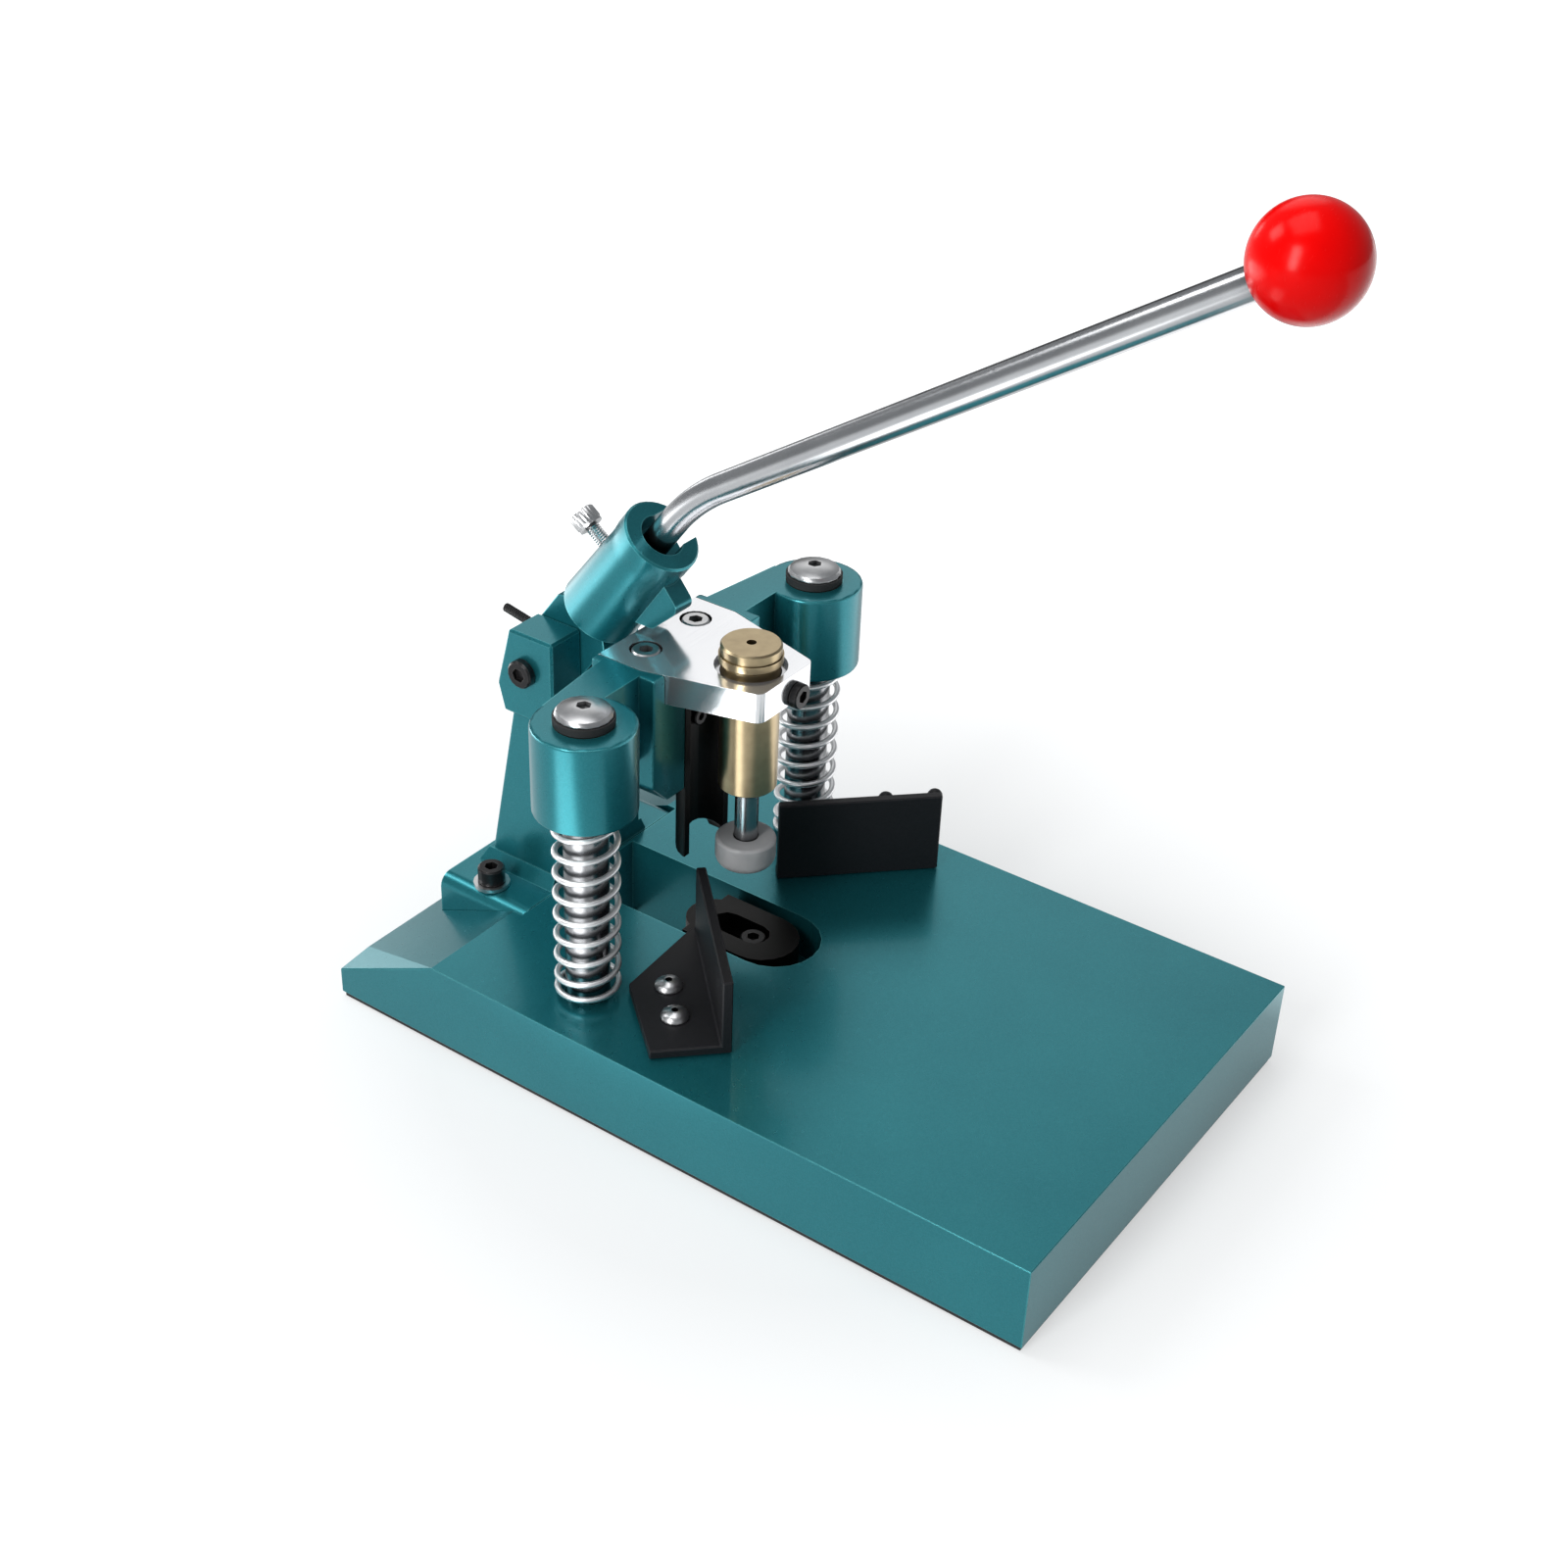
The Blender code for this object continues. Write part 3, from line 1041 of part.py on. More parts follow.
def make_socket():
    """The lever's casting, in its own frame: Z runs up the socket and the lobe hangs to -Y."""
    root = TONGUE_LENGTH + OVERRUN
    narrow = TONGUE_RADIUS - TONGUE_CHAMFER
    tongue_outline = (arc((0, 0), TONGUE_RADIUS, 180, 360, 2 * ARC_STEPS)
                      + [(TONGUE_RADIUS, root - TONGUE_CHAMFER), (narrow, root), (-narrow, root),
                         (-TONGUE_RADIUS, root - TONGUE_CHAMFER)])
    socket = prism("lever_socket", tongue_outline, -TONGUE_HALF_WIDTH, TONGUE_HALF_WIDTH, TEAL, along="X")
    round_edges(socket, SOCKET_EDGE_ROUND)
    rim_start = SOCKET_LENGTH - RIM_LENGTH
    edge = SOCKET_EDGE_ROUND
    tube_profile = [
        (0, SOCKET_LENGTH), (RIM_RADIUS - edge, SOCKET_LENGTH), (RIM_RADIUS, SOCKET_LENGTH - edge),
        (RIM_RADIUS, rim_start + RIM_TAPER), (SOCKET_RADIUS, rim_start - RIM_TAPER),
        (SOCKET_FOOT_RADIUS, TONGUE_LENGTH), (0, TONGUE_LENGTH)]
    tube = turned("socket_tube", tube_profile, (0, 0, 0), (0, 0, SOCKET_LENGTH), BIG_SIDES)
    lobe_outline = (
        [(-LOBE_ROOT_DROP, LOBE_ROOT_END), (-LOBE_ROOT_DROP, LOBE_ROOT_START)]
        + arc((-LOBE_TIP_DROP, LOBE_TIP_S), LOBE_NOSE_RADIUS, 235, 192)
        + arc((-LOBE_HEEL_DROP, LOBE_HEEL_S), LOBE_NOSE_RADIUS, 192, 107))
    lobe = prism("lobe", lobe_outline, -LOBE_HALF_WIDTH, LOBE_HALF_WIDTH, along="X")
    join(socket, tube, lobe)
    bore = cylinder("socket_bore", HANDLE_RADIUS + REST_GAP, (0, 0, SOCKET_BORE_START),
                    (0, 0, SOCKET_LENGTH + OVERRUN), ROUND_SIDES)
    mouth_floor = SOCKET_LENGTH - MOUTH_DEPTH
    slot_top = MOUTH_RADIUS * math.sin(MOUTH_SLOT_TOP)
    slot_bottom = MOUTH_RADIUS * math.sin(MOUTH_SLOT_BOTTOM)
    slot_end = RIM_RADIUS + OVERRUN
    mouth_outline = arc((0, 0), MOUTH_RADIUS, math.degrees(MOUTH_SLOT_TOP),
                        360 + math.degrees(MOUTH_SLOT_BOTTOM), 4 * ARC_STEPS)
    mouth = prism("socket_mouth", mouth_outline + [(slot_end, slot_bottom), (slot_end, slot_top)],
                  mouth_floor, SOCKET_LENGTH + OVERRUN)
    pin_hole = cylinder("pin_hole", BUSH_RADIUS + REST_GAP, (-TONGUE_HALF_WIDTH - OVERRUN, 0, 0),
                        (TONGUE_HALF_WIDTH + OVERRUN, 0, 0), SMALL_SIDES)
    clamp_hole = cylinder("clamp_hole", CLAMP_SCREW_RADIUS + THREAD_GAP, (0, 0, CLAMP_SCREW_S),
                          (0, SOCKET_FOOT_RADIUS + OVERRUN, CLAMP_SCREW_S), SMALL_SIDES)
    screw_hole = cylinder("pin_screw_hole", PIN_SCREW_RADIUS + THREAD_GAP, (0, 0, 0),
                          pin_screw_direction() * (TONGUE_RADIUS + OVERRUN), SMALL_SIDES)
    cut(socket, bore, mouth, pin_hole, clamp_hole, screw_hole)
    return socket


def pin_screw_direction():
    return Vector((0, math.cos(PIN_SCREW_TURN), math.sin(PIN_SCREW_TURN)))


def make_bush():
    """The bronze bush pressed into the lever's tongue, drilled for the set screw."""
    half = TONGUE_HALF_WIDTH - REST_GAP
    bush = cylinder("pivot_bush", BUSH_RADIUS, (-half, 0, 0), (half, 0, 0), SMALL_SIDES, BRASS)
    cut(bush,
        cylinder("bush_bore", PIN_RADIUS + RUNNING_GAP, (-half - OVERRUN, 0, 0), (half + OVERRUN, 0, 0),
                 SMALL_SIDES),
        cylinder("bush_screw_hole", PIN_SCREW_RADIUS + THREAD_GAP, (0, 0, 0),
                 pin_screw_direction() * (BUSH_RADIUS + OVERRUN), SMALL_SIDES))
    return bush


def make_pin():
    """The pivot pin, which turns with the lever: head on the left, nut on the right."""
    seat = LUG_HALF_WIDTH + REST_GAP
    end = seat + PIN_NUT_THICKNESS + PIN_TAIL
    mesh = cap_screw(PIN_RADIUS, PIN_HEAD_RADIUS, PIN_HEAD_HEIGHT, seat + end, "pin")
    place = toward((-seat, 0, 0), (-seat - PIN_HEAD_HEIGHT, 0, 0))
    return fastener("pivot_pin", mesh, place, BLACK_SCREW)


def make_pin_nut():
    seat = LUG_HALF_WIDTH + REST_GAP
    nut = cylinder("pivot_nut", PIN_NUT_RADIUS, (seat, 0, 0), (seat + PIN_NUT_THICKNESS, 0, 0), 6,
                   BLACK_SCREW)
    cut(nut, cylinder("nut_bore", PIN_RADIUS + THREAD_GAP, (seat - OVERRUN, 0, 0),
                      (seat + PIN_NUT_THICKNESS + OVERRUN, 0, 0), SMALL_SIDES))
    return nut


def make_pin_screw():
    """The long black set screw that fixes the pin in the lever's tongue."""
    start = PIN_RADIUS + REST_GAP
    edge = PIN_SCREW_RADIUS * SCREW_EDGE_SHARE
    profile = [(0, PIN_SCREW_REACH), (PIN_SCREW_RADIUS - edge, PIN_SCREW_REACH),
               (PIN_SCREW_RADIUS, PIN_SCREW_REACH - edge), (PIN_SCREW_RADIUS, start), (0, start)]
    return turned("pivot_set_screw", profile, (0, 0, 0), pin_screw_direction(), SMALL_SIDES, BLACK_SCREW)


def make_clamp_screw():
    """The bright screw that clamps the lever rod: it stands out of the socket's upper side."""
    seat = CLAMP_SCREW_REACH - CLAMP_HEAD_LENGTH
    tip = HANDLE_RADIUS + REST_GAP
    mesh = cap_screw(CLAMP_SCREW_RADIUS, CLAMP_HEAD_RADIUS, CLAMP_HEAD_LENGTH, seat - tip, "clamp")
    place = toward((0, seat, CLAMP_SCREW_S), (0, CLAMP_SCREW_REACH, CLAMP_SCREW_S))
    return fastener("clamp_screw", mesh, place, BRIGHT_SCREW)


def handle_direction():
    """The long straight part of the rod, in the lever's frame."""
    return Vector((0, -math.sin(HANDLE_BEND), math.cos(HANDLE_BEND)))


def knob_centre():
    return Vector((0, 0, HANDLE_BEND_S)) + handle_direction() * HANDLE_REACH


def make_handle():
    tangent = HANDLE_BEND_RADIUS * math.tan(HANDLE_BEND / 2)
    centre = Vector((0, -HANDLE_BEND_RADIUS, HANDLE_BEND_S - tangent))
    points = [Vector((0, 0, HANDLE_START))]
    for i in range(HANDLE_BEND_STEPS + 1):
        angle = HANDLE_BEND * i / HANDLE_BEND_STEPS
        points.append(centre + Vector((0, math.cos(angle), math.sin(angle))) * HANDLE_BEND_RADIUS)
    knob_bore_end = KNOB_FACE - INSERT_DEPTH + INSERT_FLOOR + REST_GAP
    points.append(knob_centre() - handle_direction() * knob_bore_end)
    curve = bpy.data.curves.new("lever_rod", "CURVE")
    curve.dimensions = "3D"
    curve.bevel_depth = HANDLE_RADIUS
    curve.bevel_resolution = HANDLE_BEVEL_STEPS
    curve.use_fill_caps = True
    line = curve.splines.new("POLY")
    line.points.add(len(points) - 1)
    for spot, point in zip(line.points, points):
        spot.co = (*point, 1)
    piece = bpy.data.objects.new("lever_rod", curve)
    PARTS.objects.link(piece)
    return as_mesh(piece, STEEL)


def make_knob():
    """A ball with a flat where the rod goes in, bored for its threaded insert."""
    bore_radius = INSERT_RADIUS + REST_GAP
    bore_floor = -KNOB_FACE + INSERT_DEPTH + REST_GAP
    start = math.asin(math.sqrt(KNOB_RADIUS ** 2 - KNOB_FACE ** 2) / KNOB_RADIUS)
    ball = []
    for i in range(KNOB_RINGS + 1):
        angle = (math.pi - start) * i / KNOB_RINGS
        ball.append((KNOB_RADIUS * math.sin(angle), KNOB_RADIUS * math.cos(angle)))
    profile = ball + [(bore_radius, -KNOB_FACE), (bore_radius, bore_floor), (0, bore_floor)]
    centre = knob_centre()
    return turned("lever_knob", profile, centre, centre + handle_direction(), BIG_SIDES, KNOB_RED)


def make_insert():
    """The brass insert in the knob that screws on the rod's end."""
    bore_radius = HANDLE_RADIUS + THREAD_GAP
    top = -KNOB_FACE + INSERT_DEPTH
    floor = top - INSERT_FLOOR
    profile = [(0, top), (INSERT_RADIUS, top), (INSERT_RADIUS, -KNOB_FACE), (bore_radius, -KNOB_FACE),
               (bore_radius, floor), (0, floor)]
    centre = knob_centre()
    return turned("knob_insert", profile, centre, centre + handle_direction(), ROUND_SIDES, BRASS)


def make_guide(name, side, near, length, height, depth, bulge_at, bulge_depth, screws):
    """A black angle: a slotted flange on the table, and an upright paper face."""
    def spot(along, back):
        return guide_point(side, near, along, back)

    low = TABLE_TOP + REST_GAP
    flange_outline = [spot(0, 0), spot(length, 0), spot(length, FENCE_THICKNESS),
                      spot(length, GUIDE_TAIL_DEPTH), spot(bulge_at, bulge_depth), spot(0, depth),
                      spot(0, FENCE_THICKNESS)]
    guide = prism(name, flange_outline, low, low + GUIDE_THICKNESS, BLACK_ENAMEL)
    fence_outline = [spot(0, 0), spot(length, 0), spot(length, FENCE_THICKNESS), spot(0, FENCE_THICKNESS)]
    join(guide, prism(name + "_fence", fence_outline, low, low + height))
    guide = as_mesh(guide, BLACK_ENAMEL)
    round_edges(guide, GUIDE_EDGE_ROUND, segments=1)
    slot_half_width = GUIDE_SCREW_RADIUS + HEAD_CLEARANCE
    for number, (x, y) in enumerate(screws):
        outline = (arc((x + GUIDE_TRAVEL, y), slot_half_width, -90, 90)
                   + arc((x - GUIDE_TRAVEL, y), slot_half_width, 90, 270))
        cut(guide, prism("%s_slot_%d" % (name, number), outline, low - OVERRUN,
                         low + GUIDE_THICKNESS + OVERRUN))
    return guide


def make_fence_pins():
    """Two round-topped pins that stand on the right guide's flange behind its face."""
    low = TABLE_TOP + REST_GAP + GUIDE_THICKNESS + REST_GAP
    top = TABLE_TOP + REST_GAP + RIGHT_HEIGHT - FENCE_PIN_DROP
    shoulder = top - FENCE_PIN_RADIUS
    dome = [(FENCE_PIN_RADIUS * math.sin(angle), shoulder + FENCE_PIN_RADIUS * math.cos(angle))
            for angle in (math.radians(90 * i / DOME_STEPS) for i in range(DOME_STEPS))]
    profile = dome + [(FENCE_PIN_RADIUS, shoulder), (FENCE_PIN_RADIUS, low), (0, low)]
    pin = turned("pin", profile, (0, 0, 0), (0, 0, top), SMALL_SIDES)
    mesh = pin.data.copy()
    bpy.data.objects.remove(pin, do_unlink=True)
    back = FENCE_THICKNESS + REST_GAP + FENCE_PIN_RADIUS
    return [fastener("fence_pin_" + end, mesh, upright(*guide_point(1, RIGHT_NEAR, at, back), 0),
                     BLACK_ENAMEL)
            for end, at in zip(("near", "far"), FENCE_PINS_AT)]


def make_base_fasteners():
    """Everything that screws into the table or the posts."""
    die_screw = cap_screw(DIE_SCREW_RADIUS, DIE_SCREW_HEAD_RADIUS, DIE_SCREW_HEAD_HEIGHT, DIE_SCREW_DEPTH)
    fastener("die_screw", die_screw, upright(0, DIE_SCREW_Y, die_screw_seat()), BLACK_SCREW)
    guide_screw = button_screw(GUIDE_SCREW_RADIUS, GUIDE_SCREW_HEAD_RADIUS, GUIDE_SCREW_HEAD_HEIGHT,
                               GUIDE_SCREW_DEPTH)
    for side, places in guide_screw_places().items():
        for end, (x, y) in zip(("near", "far"), places):
            fastener("guide_screw_%s_%s" % (side, end), guide_screw, upright(x, y, guide_screw_seat()),
                     BRIGHT_SCREW)
    bracket_screw = cap_screw(BRACKET_SCREW_RADIUS, BRACKET_SCREW_HEAD_RADIUS, BRACKET_SCREW_HEAD_HEIGHT,
                              BRACKET_SCREW_DEPTH)
    pair("bracket_screw", bracket_screw, BRACKET_SCREW_X, BRACKET_SCREW_Y, bracket_screw_seat(),
         BLACK_SCREW)
    post_screw = button_screw(POST_SCREW_RADIUS, POST_SCREW_HEAD_RADIUS, POST_SCREW_HEAD_HEIGHT,
                              POST_SCREW_DEPTH)
    pair("post_screw", post_screw, POST_X, POST_Y, WASHER_TOP + REST_GAP, BRIGHT_SCREW)
    anchor_screw = cap_screw(ANCHOR_SCREW_RADIUS, ANCHOR_SCREW_HEAD_RADIUS, ANCHOR_SCREW_HEAD_HEIGHT,
                             ANCHOR_SCREW_DEPTH)
    seat = anchor_seat() - REST_GAP
    for side, sign in (("left", -1), ("right", 1)):
        x = sign * POST_X
        fastener("post_anchor_" + side, anchor_screw, toward((x, POST_Y, seat), (x, POST_Y, 0)), BLACK_SCREW)


def make_bracket_washer(side, sign):
    low = TABLE_TOP + REST_GAP
    return ring("bracket_washer_" + side, BRACKET_WASHER_RADIUS, BRACKET_SCREW_RADIUS + HEAD_CLEARANCE,
                sign * BRACKET_SCREW_X, BRACKET_SCREW_Y, low, low + BRACKET_WASHER_THICKNESS, BRIGHT_SCREW,
                SMALL_SIDES)


def make_head_fasteners():
    plate_screw = cap_screw(PLATE_SCREW_RADIUS, PLATE_SCREW_HEAD_RADIUS, PLATE_SCREW_HEAD_HEIGHT,
                            PLATE_SCREW_DEPTH)
    blade_screw = cap_screw(BLADE_SCREW_RADIUS, BLADE_SCREW_HEAD_RADIUS, BLADE_SCREW_HEAD_HEIGHT,
                            BLADE_SCREW_DEPTH)
    seat = blade_screw_seat()
    forward = toward((0, seat, BLADE_SCREW_Z), (0, seat - BLADE_SCREW_HEAD_HEIGHT, BLADE_SCREW_Z))
    return [*pair("plate_screw", plate_screw, PLATE_SCREW_X, PLATE_SCREW_Y, plate_screw_seat(), BRIGHT_SCREW),
            fastener("blade_screw", blade_screw, forward, BLACK_SCREW)]


def shade(piece):
    """Smooth shading with crisp edges."""
    piece.data.shade_smooth()
    piece.data.set_sharp_from_angle(angle=math.radians(35))


def build():
    make_base_plate()
    make_base_mat()
    make_die()
    make_bracket()
    both_sides(make_bracket_washer)
    both_sides(make_post)
    both_sides(make_post_washer)
    both_sides(make_return_spring)
    make_base_fasteners()

    head_axis = axis_empty("press_axis", (0, PRESSER_Y, HEAD_TOP))
    presser_axis = axis_empty("presser_axis", (0, PRESSER_Y, FOOT_BOTTOM))
    head = [make_crosshead(), *both_sides(make_liner), make_carrier_plate(), make_blade(), make_housing(),
            make_cap(), make_housing_screw(), make_presser_spring(), *make_head_fasteners()]
    carry(head_axis, *head)
    carry(presser_axis, make_rod(), make_foot())
    carry(head_axis, presser_axis)

    lever_axis = axis_empty("lever_axis", (0, PIVOT_Y, PIVOT_Z), math.pi / 2 - SOCKET_ANGLE)
    lever = [make_socket(), make_bush(), make_pin(), make_pin_nut(), make_pin_screw(), make_clamp_screw(),
             make_handle(), make_knob(), make_insert()]
    carry_local(lever_axis, *lever)

    screws = guide_screw_places()
    left = make_guide("guide_left", -1, LEFT_NEAR, LEFT_LENGTH, LEFT_HEIGHT, LEFT_DEPTH, LEFT_BULGE_AT,
                      LEFT_BULGE_DEPTH, screws["left"])
    right = make_guide("guide_right", 1, RIGHT_NEAR, RIGHT_LENGTH, RIGHT_HEIGHT, RIGHT_DEPTH,
                       RIGHT_BULGE_AT, RIGHT_BULGE_DEPTH, screws["right"])
    carry(axis_empty("left_guide_axis", (*LEFT_NEAR, TABLE_TOP)), left)
    carry(axis_empty("right_guide_axis", (*RIGHT_NEAR, TABLE_TOP)), right, *make_fence_pins())

    for piece in PARTS.objects:
        if piece.type == "MESH":
            shade(piece)


build()
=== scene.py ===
# %% [markdown]
# # A hand-lever corner rounder
# The machine rounds the corners of paper. A lever pushes a sprung press head down two posts, and a hollow
# blade under the head shears the paper's corner round a black die. Its solids come from the CAD model, in
# metres. This lesson gives them their finishes, makes the few pieces that need finer forms, and lights them.

# %% Load the machine
import json
import math

import bmesh
import bpy
from mathutils import Matrix, Vector


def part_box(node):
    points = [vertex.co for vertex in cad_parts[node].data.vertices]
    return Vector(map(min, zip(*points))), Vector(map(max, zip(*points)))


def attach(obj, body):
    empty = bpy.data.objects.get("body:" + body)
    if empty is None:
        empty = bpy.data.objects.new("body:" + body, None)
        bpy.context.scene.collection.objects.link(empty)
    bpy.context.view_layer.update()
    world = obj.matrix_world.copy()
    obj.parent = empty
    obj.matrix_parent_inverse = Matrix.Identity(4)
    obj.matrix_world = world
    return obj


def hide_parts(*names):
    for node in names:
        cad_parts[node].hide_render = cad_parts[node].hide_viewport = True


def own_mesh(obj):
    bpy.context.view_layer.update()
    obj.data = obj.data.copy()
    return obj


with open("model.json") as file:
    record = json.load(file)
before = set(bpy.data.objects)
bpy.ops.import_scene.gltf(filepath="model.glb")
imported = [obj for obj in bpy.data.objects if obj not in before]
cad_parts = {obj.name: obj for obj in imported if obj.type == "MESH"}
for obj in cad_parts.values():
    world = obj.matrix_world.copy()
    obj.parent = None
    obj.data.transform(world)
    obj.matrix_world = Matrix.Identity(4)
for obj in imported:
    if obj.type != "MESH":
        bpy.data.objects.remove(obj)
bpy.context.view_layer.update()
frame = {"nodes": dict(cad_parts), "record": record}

# %% [markdown]
# ## Smooth faces and crisp edges
# The solids arrive as loose flat triangles, so a turned boss would show its facets. Shading them all smooth
# would smear the flat faces. Geometry nodes can do both jobs without touching the mesh: they weld the
# triangles, and they mark an edge as sharp only where two faces meet at a clear angle. The table's slopes
# meet its top at a shallow angle, so on faces that look upwards a second, smaller angle counts. Weighted
# normals then let the large flat faces keep their own direction.

# %% Nodes that weld a solid and mark its edges
WELD_DISTANCE = 0.00001
CREASE_ANGLE = math.radians(31)
TABLE_CREASE = math.radians(3)
UPWARD = 0.5


def greater(tree, field, limit):
    test = tree.nodes.new("FunctionNodeCompare")
    test.data_type = "FLOAT"
    test.operation = "GREATER_THAN"
    test.inputs["B"].default_value = limit
    tree.links.new(field, test.inputs["A"])
    return test.outputs["Result"]


def either(tree, operation, first, second):
    test = tree.nodes.new("FunctionNodeBooleanMath")
    test.operation = operation
    tree.links.new(first, test.inputs[0])
    tree.links.new(second, test.inputs[1])
    return test.outputs[0]


def welding_nodes(name, top_crease=None):
    tree = bpy.data.node_groups.new(name, "GeometryNodeTree")
    tree.interface.new_socket("Geometry", in_out="INPUT", socket_type="NodeSocketGeometry")
    tree.interface.new_socket("Geometry", in_out="OUTPUT", socket_type="NodeSocketGeometry")
    start = tree.nodes.new("NodeGroupInput")
    end = tree.nodes.new("NodeGroupOutput")
    weld = tree.nodes.new("GeometryNodeMergeByDistance")
    weld.inputs["Distance"].default_value = WELD_DISTANCE
    angle = tree.nodes.new("GeometryNodeInputMeshEdgeAngle")
    sharp = greater(tree, angle.outputs["Unsigned Angle"], CREASE_ANGLE)
    if top_crease is not None:
        facing = tree.nodes.new("GeometryNodeInputNormal")
        parts = tree.nodes.new("ShaderNodeSeparateXYZ")
        tree.links.new(facing.outputs["Normal"], parts.inputs[0])
        upward = greater(tree, parts.outputs["Z"], UPWARD)
        shallow = greater(tree, angle.outputs["Unsigned Angle"], top_crease)
        sharp = either(tree, "OR", sharp, either(tree, "AND", upward, shallow))
    normals = tree.nodes.new("GeometryNodeSetMeshNormal")
    normals.inputs["Remove Custom"].default_value = True
    normals.inputs["Face Sharpness"].default_value = False
    tree.links.new(start.outputs[0], weld.inputs["Geometry"])
    tree.links.new(weld.outputs["Geometry"], normals.inputs["Mesh"])
    tree.links.new(sharp, normals.inputs["Edge Sharpness"])
    tree.links.new(normals.outputs["Mesh"], end.inputs[0])
    return tree


WELDING = welding_nodes("weld_and_crease")
TABLE_WELDING = welding_nodes("weld_and_crease_table", TABLE_CREASE)
print("welding nodes:", len(WELDING.nodes), "and", len(TABLE_WELDING.nodes))

# %% Smooth every solid
def smooth(piece, welding):
    weld = piece.modifiers.new("weld_and_crease", "NODES")
    weld.node_group = welding
    flat = piece.modifiers.new("flat_faces_first", "WEIGHTED_NORMAL")
    flat.mode = "FACE_AREA"
    flat.keep_sharp = True


for name, solid in frame["nodes"].items():
    smooth(solid, TABLE_WELDING if name == "base_plate" else WELDING)
print("smoothed", len(frame["nodes"]), "solids")

# %% [markdown]
# ## A small language for finishes
# A finish is a network of shader nodes. Drawn by hand it is hard to read, so this class wraps a socket and
# lets plain Python sums build the Math nodes: `1 - mask` adds one node. One method, `node`, adds any other
# kind, with its settings first and then the values or links of its sockets.

# %% A socket that can be used in sums
class Value:
    def __init__(self, finish, socket):
        self.finish = finish
        self.socket = socket

    def sum_with(self, operation, first, second):
        return self.finish.node("ShaderNodeMath", {"operation": operation}, {0: first, 1: second})

    def __add__(self, other):
        return self.sum_with("ADD", self, other)

    __radd__ = __add__

    def __sub__(self, other):
        return self.sum_with("SUBTRACT", self, other)

    def __rsub__(self, other):
        return self.sum_with("SUBTRACT", other, self)

    def __mul__(self, other):
        return self.sum_with("MULTIPLY", self, other)

    __rmul__ = __mul__


print("sums with a socket:", [name for name in vars(Value) if name.startswith("__r")])

# %% A finish and its nodes
MIX_MASK, MIX_LOW, MIX_HIGH, MIX_COLOUR = 0, 6, 7, 2


class Finish:
    def __init__(self, name, tree=None):
        if tree is None:
            self.material = bpy.data.materials.new(name)
            self.material.use_nodes = True
            tree = self.material.node_tree
            self.shader = tree.nodes["Principled BSDF"]
        self.tree = tree

    def put(self, socket, value):
        if isinstance(value, Value):
            self.tree.links.new(value.socket, socket)
        else:
            socket.default_value = value

    def node(self, kind, settings=None, inputs=None, output=0):
        node = self.tree.nodes.new(kind)
        for key, value in (settings or {}).items():
            setattr(node, key, value)
        for key, value in (inputs or {}).items():
            self.put(node.inputs[key], value)
        return Value(self, node.outputs[output])

    def set(self, **sockets):
        """Values for the main shader's sockets, with an underscore for each space in a name."""
        for key, value in sockets.items():
            self.put(self.shader.inputs[key.replace("_", " ")], value)

    def mix(self, mask, low, high):
        """A colour between two others, by a mask from 0 to 1.

        The node has sockets of one name for each data type, so those for colours are reached by number.
        """
        return self.node("ShaderNodeMix", {"data_type": "RGBA"},
                         {MIX_MASK: mask, MIX_LOW: low, MIX_HIGH: high}, output=MIX_COLOUR)

    def ramp(self, value, low, high):
        """A value stretched so that low becomes 0 and high becomes 1."""
        return self.node("ShaderNodeMapRange", {}, {"Value": value, "From Min": low, "From Max": high})

    def part(self, vector, axis):
        """One coordinate of a vector, by its letter."""
        return self.node("ShaderNodeSeparateXYZ", {}, {"Vector": vector}, output=axis)


print("a finish can:", [name for name in vars(Finish) if not name.startswith("__")])

# %% [markdown]
# Every finish below starts from the same few ingredients. Object coordinates are in metres and travel with
# the piece, so a noise of scale 1000 has grains of about a millimetre, whatever the size of the solid. An
# edge is found by comparing the surface's own normal with that of a slightly rounded edge: they differ only
# there. Hollows are found by how much of the sky a point can see; the finishes paint shade into them.

# %% Noise, an edge mask and a hollow mask
EDGE_BEGINS = 0.01
EDGE_IS_FULL = 0.12


def place_of(finish, stretch=(1, 1, 1)):
    spot = finish.node("ShaderNodeTexCoord", output="Object")
    return finish.node("ShaderNodeMapping", {}, {"Vector": spot, "Scale": stretch})


def grain(finish, scale, detail=3.0, stretch=(1, 1, 1)):
    """Noise from 0 to 1. A stretch above 1 makes the grain finer along that axis."""
    spot = place_of(finish, stretch)
    return finish.node("ShaderNodeTexNoise", {}, {"Vector": spot, "Scale": scale, "Detail": detail})


def edge_mask(finish, radius):
    """1 near the edges of a solid and 0 on its faces."""
    rounded = finish.node("ShaderNodeBevel", {"samples": 6}, {"Radius": radius})
    own_normal = finish.node("ShaderNodeNewGeometry", output="Normal")
    match = finish.node("ShaderNodeVectorMath", {"operation": "DOT_PRODUCT"},
                        {0: rounded, 1: own_normal}, output="Value")
    return finish.ramp(1 - match, EDGE_BEGINS, EDGE_IS_FULL)


def hollow_mask(finish, reach, own_piece=True, dark=0.25, open_sky=0.85):
    """1 deep in a hollow and 0 on open faces: how much of the sky near pieces hide."""
    sky = finish.node("ShaderNodeAmbientOcclusion", {"samples": 8, "only_local": own_piece},
                      {"Distance": reach}, output="AO")
    return 1 - finish.ramp(sky, dark, open_sky)


def relief(finish, height, depth):
    """A bump of a real depth in metres, from a height between 0 and 1."""
    return finish.node("ShaderNodeBump", {}, {"Height": height, "Distance": depth})


